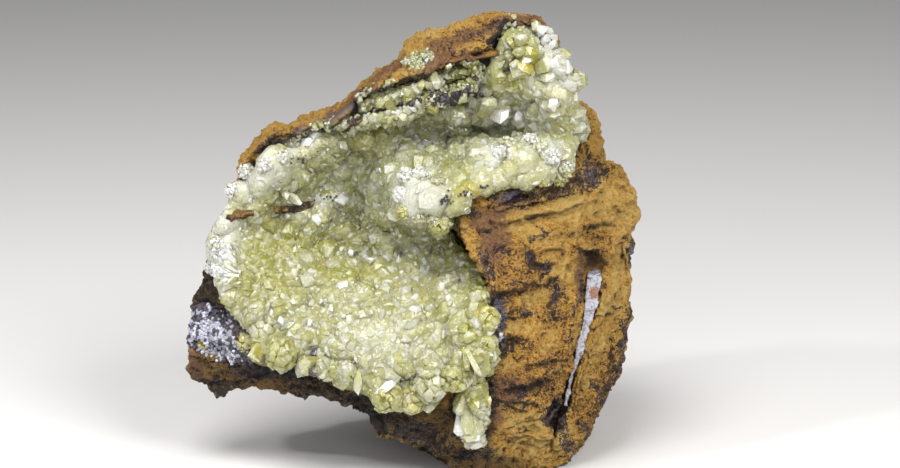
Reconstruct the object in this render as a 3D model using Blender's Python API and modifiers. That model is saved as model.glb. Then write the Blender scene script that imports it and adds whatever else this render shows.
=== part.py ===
"""Adamite specimen: yellow-green crystals lining a broken-open hollow in a loose lump of limonite.

The stone's display face looks along -Y and it rests on a flat broken foot at Z = 0.
Its forms are drawn as an eye in front of it sees them, in millimetres across and up,
and each point's depth is measured backwards from the stone's middle plane.
"""

from math import cos, pi, radians, sin
from random import Random

import bmesh
import bpy
import numpy as np
from mathutils import Matrix, Vector, noise
from mathutils.bvhtree import BVHTree

MM = 0.001

# The eye that the display face is drawn for, in millimetres.
EYE_DISTANCE = 375.0
EYE_TILT = radians(12)
AIM = Vector((3.0, 0.0, 34.7))
AIM_UP = 36.0

FUSE_VOXEL = 0.75 * MM
MATRIX_TRIANGLES = 4050
PIECE_GAP = 0.3 * MM
# Roughness of the broken stone: (lump size, height).
STONE_RELIEF = [(9, 1.2), (4, 0.7), (2, 0.4)]
# A depth well in front of everything.
IN_FRONT = -40.0
GUIDE_SIZE = 200 * MM

# Outline of the whole stone: across and up.
STONE_OUTLINE = [
    (-37, 16), (-36, 24), (-34, 31), (-32, 38), (-30, 44), (-28.5, 47.5), (-25.5, 50.6),
    (-21, 52.6), (-17, 54), (-13, 56), (-9, 59.6), (-4.5, 62.8), (-1.5, 66.2), (2, 67.6),
    (9, 69), (17, 69), (18.3, 66), (20, 62), (20.6, 57), (20.8, 52), (24, 47),
    (28, 42), (29, 30), (27, 14), (21, 4), (17, 0), (4, 0), (-4, 5.5), (-12, 10),
    (-19, 13.5), (-26, 14), (-33, 12.5),
]
# Depth of each ring of the body, how far it shrinks, and the point it shrinks towards.
BODY_RINGS = [(-3, 0.985), (4, 1.0), (12, 0.96), (19, 0.83), (24, 0.55)]
BODY_CENTRE = (3, 27)

# Blocks that stand forward of the body: (across, up, depth).
BLOCKS = {
    "floor": [
        (-36.5, 14.5, -4), (-33, 12, -5), (-27, 14, -9), (-20, 13.5, -12), (-13, 10.5, -13),
        (-5, 6, -13.5), (3, 2, -12), (-37, 18, -4), (-30, 19, -8), (-22, 17, -12.5),
        (-12, 13, -14.5), (-3, 9, -15), (5, 7, -14), (-34, 29, -3), (-20, 27, -8),
        (-6, 25, -10), (6, 24, -10), (-33, 37, 3), (-15, 37, 5), (2, 35, 5), (8, 32, 3),
        (-33, 17, 6), (-10, 13, 12), (5, 4, 12), (9, 12, 0),
    ],
    "right_block": [
        (3.5, 38.5, -11), (7.5, 41, -10), (14, 42.5, -8), (24, 44.3, -4), (28.3, 44.4, -1),
        (30.2, 43, 1), (30.9, 40, 1), (30.2, 33, 0), (29.5, 25, -1), (28.5, 18, -1),
        (27.5, 13.5, -2), (24.5, 7.5, -4), (21.5, 4, -5), (18, -0.5, -7), (5.5, 34.5, -13),
        (9, 30.5, -14), (10.5, 24, -15.3), (9.5, 17, -15.3), (8.5, 10, -15), (6, 4, -13),
        (3.5, 0, -11), (17, 36, -11.5), (19, 22, -13), (17, 10, -12.5), (27.3, 47, 10),
        (24.8, 47.8, 12), (30.3, 40, 12), (29, 20, 12), (22, 3, 10), (8, 0, 8), (4, 32, 2),
        (8, 43, 6),
    ],
    "top_block": [
        (-4.3, 62.3, -5), (-3.8, 64.2, -3), (-1.5, 66.5, -2), (2, 67.8, -1), (9, 69.2, 0),
        (16.5, 69.3, -1), (17.2, 67.8, -3), (11, 67, -5), (7, 63.5, -6.5), (1, 61, -7),
        (-4, 60, -6), (-3, 63, 9), (9, 67, 10), (17, 67, 9), (5, 57, 6),
    ],
    "arm": [
        (-4.5, 40, -8), (-5, 43.5, -7), (3, 46.5, -6.5), (10, 48.5, -6), (20, 49, -3),
        (21.5, 46, -4), (14, 43.5, -9), (5, 40, -11), (0, 38, -10), (-3, 42, 4),
        (18, 48, 6), (3, 38, 3),
    ],
    "back_peak": [
        (19, 46, 9), (21.8, 55, 12), (24, 53.3, 13), (25.4, 51, 13), (25.3, 47, 12),
        (17, 57, 16), (22, 55, 19), (26, 49, 19), (27, 42, 20), (16, 48, 12), (8, 58, 19),
        (12, 50, 25), (22, 40, 25), (20, 30, 26), (29, 36, 16),
    ],
    "shelves": [
        (-17, 51, -4), (-16.5, 52.8, -5), (-12, 56.2, -6.5), (-6, 61, -7.5), (3, 62.5, -8),
        (8.5, 61.5, -7), (8, 57.5, -6), (0, 54.5, -6), (-9, 51.5, -5.5), (-12, 55, 3), (3, 58, 3),
    ],
    "foot": [
        (4, 0, -11), (18, 0, -8), (23, 3, 4), (21, 5, 22), (8, 5.5, 25), (-6, 7, 22),
        (-3.6, 6.3, 14), (1, 3.6, 4), (16, 22, 25), (-2, 20, 23), (10, 10, 0), (14, -3, 0),
        (10, -3, 12), (4, -2, -8), (16, -2, -6), (26, 12, 16),
    ],
}

# The main hollow: its mouth, and depths that its wall passes through.
HOLLOW_MOUTH = [
    (-34.2, 29), (-33.8, 31), (-32, 37.5), (-30.4, 41), (-29, 44.5), (-27, 47.3), (-23.5, 50),
    (-19, 51.3), (-15.5, 51.5), (-10, 52), (-4, 54), (2, 56), (6.5, 57.5), (8.2, 60.5),
    (9.5, 65), (11, 67.3), (14, 67.8), (16.8, 66.4), (18.8, 63), (20.2, 60), (21, 55), (23, 50),
    (23, 46.5), (19.5, 45), (15, 43.6), (10, 42.4), (6, 40.8), (4, 39.2), (3.3, 36.8), (5, 34.3),
    (8, 31.5), (9.3, 28), (10, 24), (9.8, 20), (9, 15), (8, 8), (3, 4), (-4, 7), (-12, 12),
    (-20, 15), (-26, 18), (-28.5, 21.5), (-29.5, 24.5), (-31, 27),
]
HOLLOW_WALL = [
    (-33.8, 31, -3), (-31.5, 38, -3), (-29, 44.5, -2), (-26.5, 48, -2), (-21, 51, -2),
    (-14, 51, 0), (-8, 52, 2), (-2, 54, 2), (4, 56, 1), (9, 60, -2), (9.5, 66, -3),
    (13, 68, -2), (17, 66, -2), (19.5, 61, -3), (20.5, 57, -4), (21.5, 55, -4), (21, 51, 0),
    (-24, 45, 0.5), (-20, 47, 2), (-15, 48, 4), (-10, 48, 6), (-14, 43, 7), (-20, 42, 4),
    (-26, 41, 0), (-8, 44, 8), (-4, 50, 5), (1, 49, 8), (2, 53, 4), (7, 51, 8), (8, 56, 3),
    (12, 60, -1), (16, 63, -2), (17, 57, 0), (14, 53, 5), (18, 52, 3), (12, 50, 8), (17, 50.5, 6),
    (-30, 38.5, -1), (-24, 39, 2), (-18, 39.5, 6), (-12, 39.5, 8.5), (-7, 39.5, 8),
    (-5.5, 42, 2), (-1, 36.5, 5), (3, 35, 3), (6, 32.5, 0),
    (-4.5, 44, -4), (-3, 42, -8), (0, 40, -9.5), (2, 43, -8), (2.5, 38.3, -9.5), (6, 45.5, -7),
    (11, 46.5, -6), (16, 47.3, -4.5), (20.5, 47, -4), (4, 41, -10), (10, 44, -8.5), (16, 45.5, -6.5),
    (-32, 36, -2), (-32.5, 32, -3.5), (-29, 33, -2.5), (-25, 35, 0), (-20, 35, 2), (-14, 35, 4),
    (-8, 35, 4.5), (-3, 34, 4), (1, 32.5, 2), (-27, 28, -5), (-21, 29, -4), (-14, 29, -2.5),
    (-7, 29, -2), (0, 28.5, -3), (5, 28, -6), (-26, 22, -9), (-20, 22, -9.5), (-13, 22, -9),
    (-6, 22, -9.5), (1, 22, -10.5), (7, 22, -12.5), (9.5, 24, -13.5), (-19, 17, -12.5),
    (-12, 14, -14), (-5, 12, -14.5), (2, 12, -14.5), (7, 15, -14.5), (7, 8, -14),
]
# The narrow hollow between the two upper layers.
NICHE_MOUTH = [
    (-12.5, 54.3), (-10, 57), (-6, 58.6), (-1, 60.6), (4, 61.6), (7, 60.6), (6, 59), (2, 57.8),
    (-4, 56), (-9, 54),
]
NICHE_DEPTH = -3.0

# Where crystals grow on the stone: the edge of each crust as (across, up), its thickness, how
# much longer its crystals are than usual, and how often the stone's facets are halved to seat them.
CRUSTS = {
    "adamite_crust": ([
        (-32.6, 31.2), (-31, 37.5), (-29.6, 41), (-28.2, 44.2), (-26.4, 46.8), (-23.2, 49.3),
        (-19, 50.8), (-15.5, 51.2), (-10, 51.8), (-4, 53.7), (2, 55.7), (6.8, 57.2), (8.6, 60.3),
        (9.8, 65), (11.3, 67), (14, 67.4), (16.8, 66), (18.9, 62.6), (20.5, 59.5), (21.4, 55),
        (21.6, 50), (21.6, 47), (19.5, 45.4), (15, 44), (10, 42.8), (6, 41.2), (3.8, 39.2),
        (3, 36.8), (4.6, 34), (7.4, 31.3), (8.8, 28), (9.6, 24), (9.4, 20), (8.6, 17),
        (7.8, 15.8), (5.6, 15.4), (3.2, 13.6), (-0.6, 11.2), (-7, 11), (-11, 13), (-14.5, 15.3),
        (-19, 16), (-23, 16.5), (-25.5, 18.5), (-28.2, 19.3), (-28.9, 22.5), (-28.6, 24.5),
        (-30, 27), (-32, 29),
    ], 1.5, 1.0, 0),
    "niche_crust": ([
        (-12.2, 54.6), (-9.8, 56.8), (-6, 58.3), (-1, 60.2), (4, 61.2), (6.7, 60.4), (5.8, 59.2),
        (2, 58), (-4, 56.3), (-9, 54.3),
    ], 0.8, 0.9, 1),
    "corner_crust": ([
        (-32.4, 26.2), (-34, 25.2), (-35, 23), (-35.9, 20.6), (-35, 19.2), (-32.6, 19.4), (-30.9, 18.6),
        (-30.6, 20.8), (-31, 23.4),
    ], 0.6, 0.9, 1),
    "foot_crust": ([
        (6.4, 12.9), (8, 12.2), (8.7, 10.3), (7.8, 8.6), (7.7, 6.6), (6.9, 5), (5.4, 5), (4, 6.6),
        (3.4, 8.6), (4.2, 10.4), (5.2, 12),
    ], 1.9, 1.1, 1),
}

# Crystals lower than this reach further out.
LONG_BELOW = 18.5
LONG_REACH = 1.7
# A crystal's shape, as shares of its width: a prism stands on some, and each ends in a point.
PRISM_CHANCE = 0.5
PRISM_INSET = 0.14
PRISM_HEIGHT = (0.25, 0.6)
TIP_HEIGHT = (0.15, 0.4)
CRYSTAL_LEAN = 0.14
CRUST_LUMP_SIZE = 5 * MM
CRUST_LUMP_HEIGHT = 0.5
# Faces that point further back than this, or lie deeper, stay bare.
BARE_FACING = 0.25
BARE_DEPTH = 14 * MM

# The open seam in the right block, top to bottom: across, up and half width; and its filling.
SEAM = [
    (24.3, 33.6, 1.2), (24.6, 31.8, 1.8), (24.6, 29.1, 1.7), (24.4, 26.1, 1.5), (23.7, 23.4, 1.15),
    (23, 20.9, 1.25), (22.4, 18.6, 1.1), (21.7, 15.9, 0.75), (20.9, 13.7, 0.7), (20.6, 11.4, 0.7),
    (19.8, 9.3, 1.05), (18.7, 7.5, 1.25), (18.4, 5.1, 0.7), (18.2, 3.3, 0.4),
]
SEAM_DEPTH = 2.4
VEIN = [
    (24.7, 30.6, 1.0), (24.6, 29, 1.25), (24.4, 27.4, 1.0), (24.2, 25.2, 1.0), (23.7, 23.4, 0.75),
    (23.2, 21.6, 0.7), (22.9, 20.1, 0.7), (22.4, 18.4, 0.75), (21.9, 16.8, 0.45), (21.2, 14.7, 0.35),
    (20.8, 12.6, 0.35), (20.4, 10.2, 0.3),
]
VEIN_HEIGHT = 1.1

# Hollows under the stone: centre (across, up, depth) and radii along X, Y and Z.
ARCHES = {"left_arch": ((-21, 7.6, -8), (13, 22, 6)), "lower_arch": ((-9, 3, -6), (8, 20, 4.5))}
# Flat breaks across the back: a point on each as (X, Y, Z), and the way it faces.
BREAKS = {
    "left_break": ((-22.5, 9.3, 30), (-0.62, 0.78, 0.1)),
    "upper_break": ((4, 15, 58), (0.1, 0.72, 0.68)),
    "under_break": ((-14, 16, 6), (-0.45, 0.27, -0.85)),
    "right_break": ((30, 16, 24), (0.85, 0.52, -0.12)),
    "back_break": ((6, 22.6, 26), (0.12, 0.99, -0.06)),
}


# What each piece is made of: material, colour and roughness.
MATERIALS = {
    "limonite_matrix": ("limonite", (0.36, 0.20, 0.07), 0.85),
    "adamite_crust": ("adamite", (0.72, 0.78, 0.36), 0.25),
    "niche_crust": ("adamite", (0.72, 0.78, 0.36), 0.25),
    "foot_crust": ("adamite", (0.72, 0.78, 0.36), 0.25),
    "corner_crust": ("pale_druse", (0.72, 0.74, 0.80), 0.35),
    "seam_vein": ("vein_filling", (0.75, 0.76, 0.80), 0.45),
}


def spot(across, up, depth):
    """The point that the eye sees at (across, up), as deep as given."""
    look = Vector((0, cos(EYE_TILT), -sin(EYE_TILT)))
    rise = Vector((0, sin(EYE_TILT), cos(EYE_TILT)))
    eye = AIM - look * EYE_DISTANCE
    drawn = AIM + Vector((across - AIM.x, 0, 0)) + rise * (up - AIM_UP)
    ray = drawn - eye
    return (eye + ray * ((depth - eye.y) / ray.y)) * MM


def drawn_at(point):
    """Where the eye sees a point: (across, up) in millimetres."""
    look = Vector((0, cos(EYE_TILT), -sin(EYE_TILT)))
    rise = Vector((0, sin(EYE_TILT), cos(EYE_TILT)))
    eye = AIM - look * EYE_DISTANCE
    ray = point / MM - eye
    ray *= EYE_DISTANCE / ray.dot(look)
    return AIM.x + ray.x, AIM_UP + ray.dot(rise)


def within(outline, across, up):
    """Whether (across, up) lies inside a closed outline."""
    inside = False
    for (a0, u0), (a1, u1) in zip(outline, outline[1:] + outline[:1]):
        if (u0 > up) != (u1 > up) and across < a0 + (up - u0) * (a1 - a0) / (u1 - u0):
            inside = not inside
    return inside


def clear_scene():
    for old in list(bpy.data.objects):
        bpy.data.objects.remove(old, do_unlink=True)


def collection(name):
    made = bpy.data.collections.new(name)
    bpy.context.scene.collection.children.link(made)
    return made


def add_object(name, bm, home):
    bmesh.ops.recalc_face_normals(bm, faces=bm.faces)
    mesh = bpy.data.meshes.new(name)
    bm.to_mesh(mesh)
    bm.free()
    made = bpy.data.objects.new(name, mesh)
    home.objects.link(made)
    return made


def hide_guide(ob):
    ob.hide_render = True
    ob.display_type = "WIRE"


def cut_with(ob, cutter):
    """Takes a cutter's volume away from an object."""
    cut = ob.modifiers.new(cutter.name, "BOOLEAN")
    cut.object = cutter
    cut.solver = "EXACT"
    hide_guide(cutter)


def fuse(ob):
    """Makes one skin round everything in an object."""
    skin = ob.modifiers.new("fuse", "REMESH")
    skin.mode = "VOXEL"
    skin.voxel_size = FUSE_VOXEL


def add_block(name, points, home):
    """A broken block: the hull round points given as (across, up, depth)."""
    bm = bmesh.new()
    for across, up, depth in points:
        bm.verts.new(spot(across, up, depth))
    hull = bmesh.ops.convex_hull(bm, input=bm.verts)
    unused = hull["geom_interior"] + hull["geom_unused"]
    spare = dict.fromkeys(v for v in unused if isinstance(v, bmesh.types.BMVert))
    bmesh.ops.delete(bm, geom=list(spare), context="VERTS")
    return add_object(name, bm, home)


def add_lobe(name, centre, radii, home):
    """A rounded cutter."""
    bm = bmesh.new()
    bmesh.ops.create_icosphere(bm, subdivisions=4, radius=MM)
    bmesh.ops.scale(bm, vec=radii, verts=bm.verts)
    bmesh.ops.translate(bm, vec=spot(*centre), verts=bm.verts)
    return add_object(name, bm, home)


def add_break(name, place, facing, home):
    """A cutter that fills everything beyond a plane."""
    bm = bmesh.new()
    bmesh.ops.create_cube(bm, size=GUIDE_SIZE)
    bmesh.ops.translate(bm, vec=(0, 0, GUIDE_SIZE / 2), verts=bm.verts)
    turn = Vector(facing).to_track_quat("Z", "Y").to_matrix().to_4x4()
    bmesh.ops.transform(bm, matrix=Matrix.Translation(Vector(place) * MM) @ turn, verts=bm.verts)
    return add_object(name, bm, home)


def add_body(home):
    """The mass behind the hollow: the outline lofted backwards through shrinking rings."""
    bm = bmesh.new()
    rings = []
    for depth, shrink in BODY_RINGS:
        corners = []
        for across, up in STONE_OUTLINE:
            corners.append(bm.verts.new(spot(
                BODY_CENTRE[0] + (across - BODY_CENTRE[0]) * shrink,
                BODY_CENTRE[1] + (up - BODY_CENTRE[1]) * shrink,
                depth,
            )))
        rings.append(corners)
    for front, back in zip(rings, rings[1:]):
        for i in range(len(front)):
            j = (i + 1) % len(front)
            bm.faces.new((front[i], front[j], back[j], back[i]))
    bm.faces.new(rings[0])
    bm.faces.new(rings[-1])
    return add_object("body", bm, home)


def smooth_depths(points):
    """A thin-plate surface through (across, up, depth) points, as a function of (across, up)."""
    known = np.array(points, float)
    count = len(known)

    def bend(gap):
        return np.where(gap > 0, gap * gap * np.log(np.maximum(gap, 1e-9)), 0)

    gaps = np.linalg.norm(known[:, None, :2] - known[None, :, :2], axis=2)
    plane = np.column_stack((np.ones(count), known[:, :2]))
    system = np.zeros((count + 3, count + 3))
    system[:count, :count] = bend(gaps) + np.eye(count) * 0.5
    system[:count, count:] = plane
    system[count:, :count] = plane.T
    weights = np.linalg.solve(system, np.append(known[:, 2], (0, 0, 0)))

    def depth(across, up):
        reach = bend(np.hypot(known[:, 0] - across, known[:, 1] - up))
        return float(reach @ weights[:count] + weights[count:] @ (1, across, up))

    return depth


def add_hollow(name, mouth, depth, home, step=1.0):
    """A cutter: the mouth's outline, gridded, pushed back to the wall's depths and closed in front."""
    bm = bmesh.new()
    bm.faces.new([bm.verts.new((across, up, 0)) for across, up in mouth])
    for axis in (0, 1):
        low = min(point[axis] for point in mouth)
        high = max(point[axis] for point in mouth)
        normal = (1, 0, 0) if axis == 0 else (0, 1, 0)
        for k in range(1, int((high - low) / step) + 1):
            at = [0, 0, 0]
            at[axis] = low + k * step
            bmesh.ops.bisect_plane(
                bm, geom=bm.verts[:] + bm.edges[:] + bm.faces[:], plane_co=at, plane_no=normal, dist=1e-5,
            )
    wall = {v: spot(v.co.x, v.co.y, depth(v.co.x, v.co.y)) for v in bm.verts}
    front = bmesh.ops.extrude_face_region(bm, geom=bm.faces[:], use_keep_orig=True)
    for v in front["geom"]:
        if isinstance(v, bmesh.types.BMVert):
            v.co = spot(v.co.x, v.co.y, IN_FRONT)
    for v, place in wall.items():
        v.co = place
    return add_object(name, bm, home)


def baked(ob):
    """Replaces an object's mesh with what its modifiers make of it."""
    scene = bpy.context.evaluated_depsgraph_get()
    mesh = bpy.data.meshes.new_from_object(ob.evaluated_get(scene))
    ob.modifiers.clear()
    ob.data = mesh
    return ob


def roughen(mesh, relief):
    """Moves each vertex along its normal by layered noise: (lump size, height) in millimetres."""
    normals = [v.normal.copy() for v in mesh.vertices]
    for v, normal in zip(mesh.vertices, normals):
        rise = sum(noise.noise(v.co / (size * MM)) * height for size, height in relief)
        v.co += normal * rise * MM
    mesh.update()


def add_cutters(home):
    """Everything that is missing from the blocks: hollows, arches under the stone and flat breaks."""
    cutters = [add_hollow("hollow", HOLLOW_MOUTH, smooth_depths(HOLLOW_WALL), home)]
    cutters.append(add_hollow("niche", NICHE_MOUTH, lambda across, up: NICHE_DEPTH, home))
    cutters += [add_lobe(name, *form, home) for name, form in ARCHES.items()]
    cutters += [add_break(name, *form, home) for name, form in BREAKS.items()]
    return cutters


def build_matrix(stone, work):
    """The limonite: blocks fused together, hollowed, broken across, roughened and stood on its foot."""
    blocks = [add_body(work)]
    blocks += [add_block(name, points, work) for name, points in BLOCKS.items()]
    bm = bmesh.new()
    for block in blocks:
        bm.from_mesh(block.data)
        hide_guide(block)
    matrix = add_object("limonite_matrix", bm, stone)
    fuse(matrix)
    for cutter in add_cutters(work):
        cut_with(matrix, cutter)
    fuse(matrix)
    baked(matrix)
    roughen(matrix.data, STONE_RELIEF)
    facets = matrix.modifiers.new("facets", "DECIMATE")
    facets.ratio = MATRIX_TRIANGLES / (2 * len(matrix.data.polygons))
    baked(matrix)
    cut_with(matrix, add_bar("seam", SEAM, face_of(matrix), IN_FRONT / 20, SEAM_DEPTH, work))
    cut_with(matrix, add_break("table", (0, 0, 0), (0, 0, -1), work))
    return baked(matrix)


def face_of(ob):
    """A function that gives the depth at which the eye meets an object, in millimetres."""
    tree = BVHTree.FromObject(ob, bpy.context.evaluated_depsgraph_get())

    def depth(across, up):
        near, far = spot(across, up, IN_FRONT), spot(across, up, -IN_FRONT)
        return tree.ray_cast(near, (far - near).normalized())[0].y / MM

    return depth


def add_bar(name, stations, face, top, bottom, home):
    """A winding bar along (across, up, half width) stations, between two depths below a face."""
    bm = bmesh.new()
    rings = []
    for across, up, half in stations:
        level = face(across, up)
        corners = [(-half, level + top), (half, level + top), (half * 0.7, level + bottom),
                   (-half * 0.7, level + bottom)]
        rings.append([bm.verts.new(spot(across + side, up, depth)) for side, depth in corners])
    for upper, lower in zip(rings, rings[1:]):
        for i in range(4):
            j = (i + 1) % 4
            bm.faces.new((upper[i], upper[j], lower[j], lower[i]))
    bm.faces.new(rings[0])
    bm.faces.new(rings[-1])
    bmesh.ops.triangulate(bm, faces=bm.faces)
    return add_object(name, bm, home)


def largest_patch(bm):
    """Deletes every face that isn't joined to the largest patch."""
    left, patches = set(bm.faces), []
    for start in bm.faces:
        if start not in left:
            continue
        left.discard(start)
        reached = [start]
        for face in reached:
            for other in (f for edge in face.edges for f in edge.link_faces if f in left):
                left.discard(other)
                reached.append(other)
        patches.append(reached)
    patches.sort(key=len, reverse=True)
    bmesh.ops.delete(bm, geom=[f for patch in patches[1:] for f in patch], context="FACES")


def tidy_edge(bm):
    """Trims faces until each corner on the patch's edge belongs to one run of faces."""
    while True:
        spare = [f for f in bm.faces if sum(e.is_boundary for e in f.edges) > 1]
        for v in bm.verts:
            if sum(e.is_boundary for e in v.link_edges) > 2:
                spare += v.link_faces[:1]
        if not spare:
            return
        bmesh.ops.delete(bm, geom=list(dict.fromkeys(spare)), context="FACES")
        largest_patch(bm)


def bare_wall(matrix, edge, halvings):
    """A copy of the part of the matrix's face inside an edge; each corner keeps its way out in "away"."""
    bm = bmesh.new()
    bm.from_mesh(matrix.data)
    if halvings:
        seats = [f for f in bm.faces if within(edge, *drawn_at(f.calc_center_median()))]
        around = dict.fromkeys(e for f in seats for v in f.verts for e in v.link_edges)
        bmesh.ops.subdivide_edges(bm, edges=list(around), cuts=halvings, use_grid_fill=True)
        bmesh.ops.triangulate(bm, faces=bm.faces)
    bm.normal_update()
    away = bm.verts.layers.float_vector.new("away")
    for v in bm.verts:
        v[away] = v.normal
    bmesh.ops.delete(bm, context="FACES", geom=[
        f for f in bm.faces
        if f.normal.y > BARE_FACING or f.calc_center_median().y > BARE_DEPTH
        or not within(edge, *drawn_at(f.calc_center_median()))
    ])
    largest_patch(bm)
    tidy_edge(bm)
    return bm


def thicken(bm, thickness, matrix):
    """Gives a bare wall thickness outwards, less where stone stands in the way; returns the outer face."""
    away = bm.verts.layers.float_vector["away"]
    stone = BVHTree.FromObject(matrix, bpy.context.evaluated_depsgraph_get())
    wall = bm.verts[:]
    made = bmesh.ops.extrude_face_region(bm, geom=bm.faces[:], use_keep_orig=True)["geom"]
    outer = [v for v in made if isinstance(v, bmesh.types.BMVert)]
    for v in outer:
        lump = noise.noise(v.co / CRUST_LUMP_SIZE) * CRUST_LUMP_HEIGHT
        rise = (thickness + lump * min(thickness, 1)) * MM
        room = stone.ray_cast(v.co + v[away] * PIECE_GAP / 2, v[away], 3 * rise)[3]
        if room is not None:
            rise = min(rise, PIECE_GAP + room / 3)
        v.co += v[away] * rise
    for v in wall:
        v.co += v[away] * PIECE_GAP
    bm.normal_update()
    return outer, [f for f in made if isinstance(f, bmesh.types.BMFace)]


def grow_crust(name, matrix, home):
    """A crust on the matrix's face whose outer side is all crystals."""
    edge, thickness, reach, halvings = CRUSTS[name]
    chance = Random(name)
    bm = bare_wall(matrix, edge, halvings)
    outer, caps = thicken(bm, thickness, matrix)
    outside = set(outer)
    bmesh.ops.join_triangles(bm, faces=caps, angle_face_threshold=pi, angle_shape_threshold=pi)
    for cell in [f for f in bm.faces if outside.issuperset(f.verts)]:
        low = drawn_at(cell.calc_center_median())[1] < LONG_BELOW
        grow_crystal(bm, cell, reach * (LONG_REACH if low else 1), chance)
    return add_object(name, bm, home)


def grow_crystal(bm, cell, reach, chance):
    """Turns a cell of the crust into a crystal: a blunt point, or a leaning prism with a point on it."""
    width = cell.calc_area() ** 0.5

    def lean():
        return Vector((chance.uniform(-1, 1), 0, chance.uniform(-1, 1))) * CRYSTAL_LEAN * width

    if len(cell.verts) == 4 and chance.random() < PRISM_CHANCE:
        tall = chance.uniform(*PRISM_HEIGHT) * width * reach
        bmesh.ops.inset_individual(bm, faces=[cell], thickness=PRISM_INSET * width, depth=tall)
        bmesh.ops.translate(bm, vec=lean(), verts=cell.verts)
    tip = chance.uniform(*TIP_HEIGHT) * width * reach
    point = bmesh.ops.poke(bm, faces=[cell], offset=tip)["verts"]
    bmesh.ops.translate(bm, vec=lean(), verts=point)


def add_material(ob, name, colour, roughness):
    """Gives an object its own Principled material."""
    made = bpy.data.materials.new(name)
    made.use_nodes = True
    shader = made.node_tree.nodes["Principled BSDF"]
    shader.inputs["Base Color"].default_value = (*colour, 1)
    shader.inputs["Roughness"].default_value = roughness
    shader.inputs["Metallic"].default_value = 0
    ob.data.materials.clear()
    ob.data.materials.append(made)


def stand_at_origin(pieces):
    """Moves the pieces so that the origin is under the middle of the whole stone, at its foot."""
    corners = np.array([v.co for piece in pieces for v in piece.data.vertices])
    low, high = corners.min(axis=0), corners.max(axis=0)
    shift = Vector((-(low[0] + high[0]) / 2, -(low[1] + high[1]) / 2, -low[2]))
    for piece in pieces:
        piece.data.transform(Matrix.Translation(shift))
    print("moved by", shift / MM)


def main():
    clear_scene()
    stone = collection("adamite_specimen")
    work = collection("guides")
    matrix = build_matrix(stone, work)
    for name in CRUSTS:
        grow_crust(name, matrix, stone)
    # Depths here are taken from the seam's floor.
    add_bar("seam_vein", VEIN, face_of(matrix), -VEIN_HEIGHT, -PIECE_GAP / MM, stone)
    for piece in stone.objects:
        add_material(piece, *MATERIALS[piece.name])
    stand_at_origin(list(stone.objects))


main()
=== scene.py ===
import math
import bmesh
import bpy
import numpy as np
from mathutils import Matrix, Vector
from mathutils.bvhtree import BVHTree
from mathutils.kdtree import KDTree


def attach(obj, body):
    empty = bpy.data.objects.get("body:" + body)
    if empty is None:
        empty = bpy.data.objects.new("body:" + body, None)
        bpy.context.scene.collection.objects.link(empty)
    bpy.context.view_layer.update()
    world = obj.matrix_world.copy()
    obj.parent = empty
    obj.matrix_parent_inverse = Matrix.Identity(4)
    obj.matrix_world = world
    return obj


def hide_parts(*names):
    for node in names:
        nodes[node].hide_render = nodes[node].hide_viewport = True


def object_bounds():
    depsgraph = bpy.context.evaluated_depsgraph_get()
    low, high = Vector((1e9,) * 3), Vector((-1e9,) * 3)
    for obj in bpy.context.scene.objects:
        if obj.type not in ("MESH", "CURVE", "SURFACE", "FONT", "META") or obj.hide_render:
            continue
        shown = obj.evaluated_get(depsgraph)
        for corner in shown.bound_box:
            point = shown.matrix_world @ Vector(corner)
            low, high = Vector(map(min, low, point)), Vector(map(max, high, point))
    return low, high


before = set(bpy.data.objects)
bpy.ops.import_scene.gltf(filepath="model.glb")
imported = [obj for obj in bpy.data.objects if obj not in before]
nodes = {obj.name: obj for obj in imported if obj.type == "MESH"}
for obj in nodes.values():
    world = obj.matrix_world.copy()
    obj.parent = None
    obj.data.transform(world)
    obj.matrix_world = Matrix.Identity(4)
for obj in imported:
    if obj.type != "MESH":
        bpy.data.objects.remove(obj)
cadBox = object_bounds()
mm = 0.001

# The eye that faces the hollow. Places called across and up are in mm, as this eye sees them.
eyeView = {
    "distance": 375 * mm,
    "tilt": math.radians(12),
    "aim": Vector((5.841, -2.071, 34.7)) * mm,
    "aimAcross": 3.0,
    "aimUp": 36.0,
    "lens": 100,
    "sensor": 36,
}
eyeLook = Vector((0, math.cos(eyeView["tilt"]), -math.sin(eyeView["tilt"])))
eyeRise = Vector((0, math.sin(eyeView["tilt"]), math.cos(eyeView["tilt"])))
eyeRight = Vector((1, 0, 0))
eyePlace = eyeView["aim"] - eyeLook * eyeView["distance"]
towardEye = -np.array(eyeLook)


def rayThrough(across, up):
    drawn = eyeView["aim"] + eyeRight * (across - eyeView["aimAcross"]) * mm
    return (drawn + eyeRise * (up - eyeView["aimUp"]) * mm - eyePlace).normalized()


def seenAt(points):  # across and up of many points at once
    ray = points - np.array(eyePlace)
    ray = ray * (eyeView["distance"] / (ray @ -towardEye))[:, None]
    return eyeView["aimAcross"] + ray[:, 0] / mm, eyeView["aimUp"] + ray @ np.array(eyeRise) / mm


def seenWay(turn, lean):  # degrees: 0 right and 90 up; 0 flat and 90 straight at the eye
    turn, lean = math.radians(turn), math.radians(lean)
    return (eyeRight * math.cos(turn) + eyeRise * math.sin(turn)) * math.cos(lean) - eyeLook * math.sin(lean)


def addCamera():
    camera = bpy.data.cameras.new("camera")
    camera.lens = eyeView["lens"]
    camera.sensor_width = eyeView["sensor"]
    camera.clip_start = 0.01
    eye = bpy.data.objects.new("camera", camera)
    eye.location = eyePlace
    eye.rotation_euler = (math.radians(90) - eyeView["tilt"], 0, 0)
    bpy.context.collection.objects.link(eye)
    bpy.context.scene.camera = eye


def linked(name, mesh):
    made = bpy.data.objects.new(name, mesh)
    bpy.context.collection.objects.link(made)
    return made


def evaluated(obj):  # the object's mesh with its modifiers applied; the object itself goes
    graph = bpy.context.evaluated_depsgraph_get()
    mesh = bpy.data.meshes.new_from_object(obj.evaluated_get(graph))
    bpy.data.objects.remove(obj)
    return mesh


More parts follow.
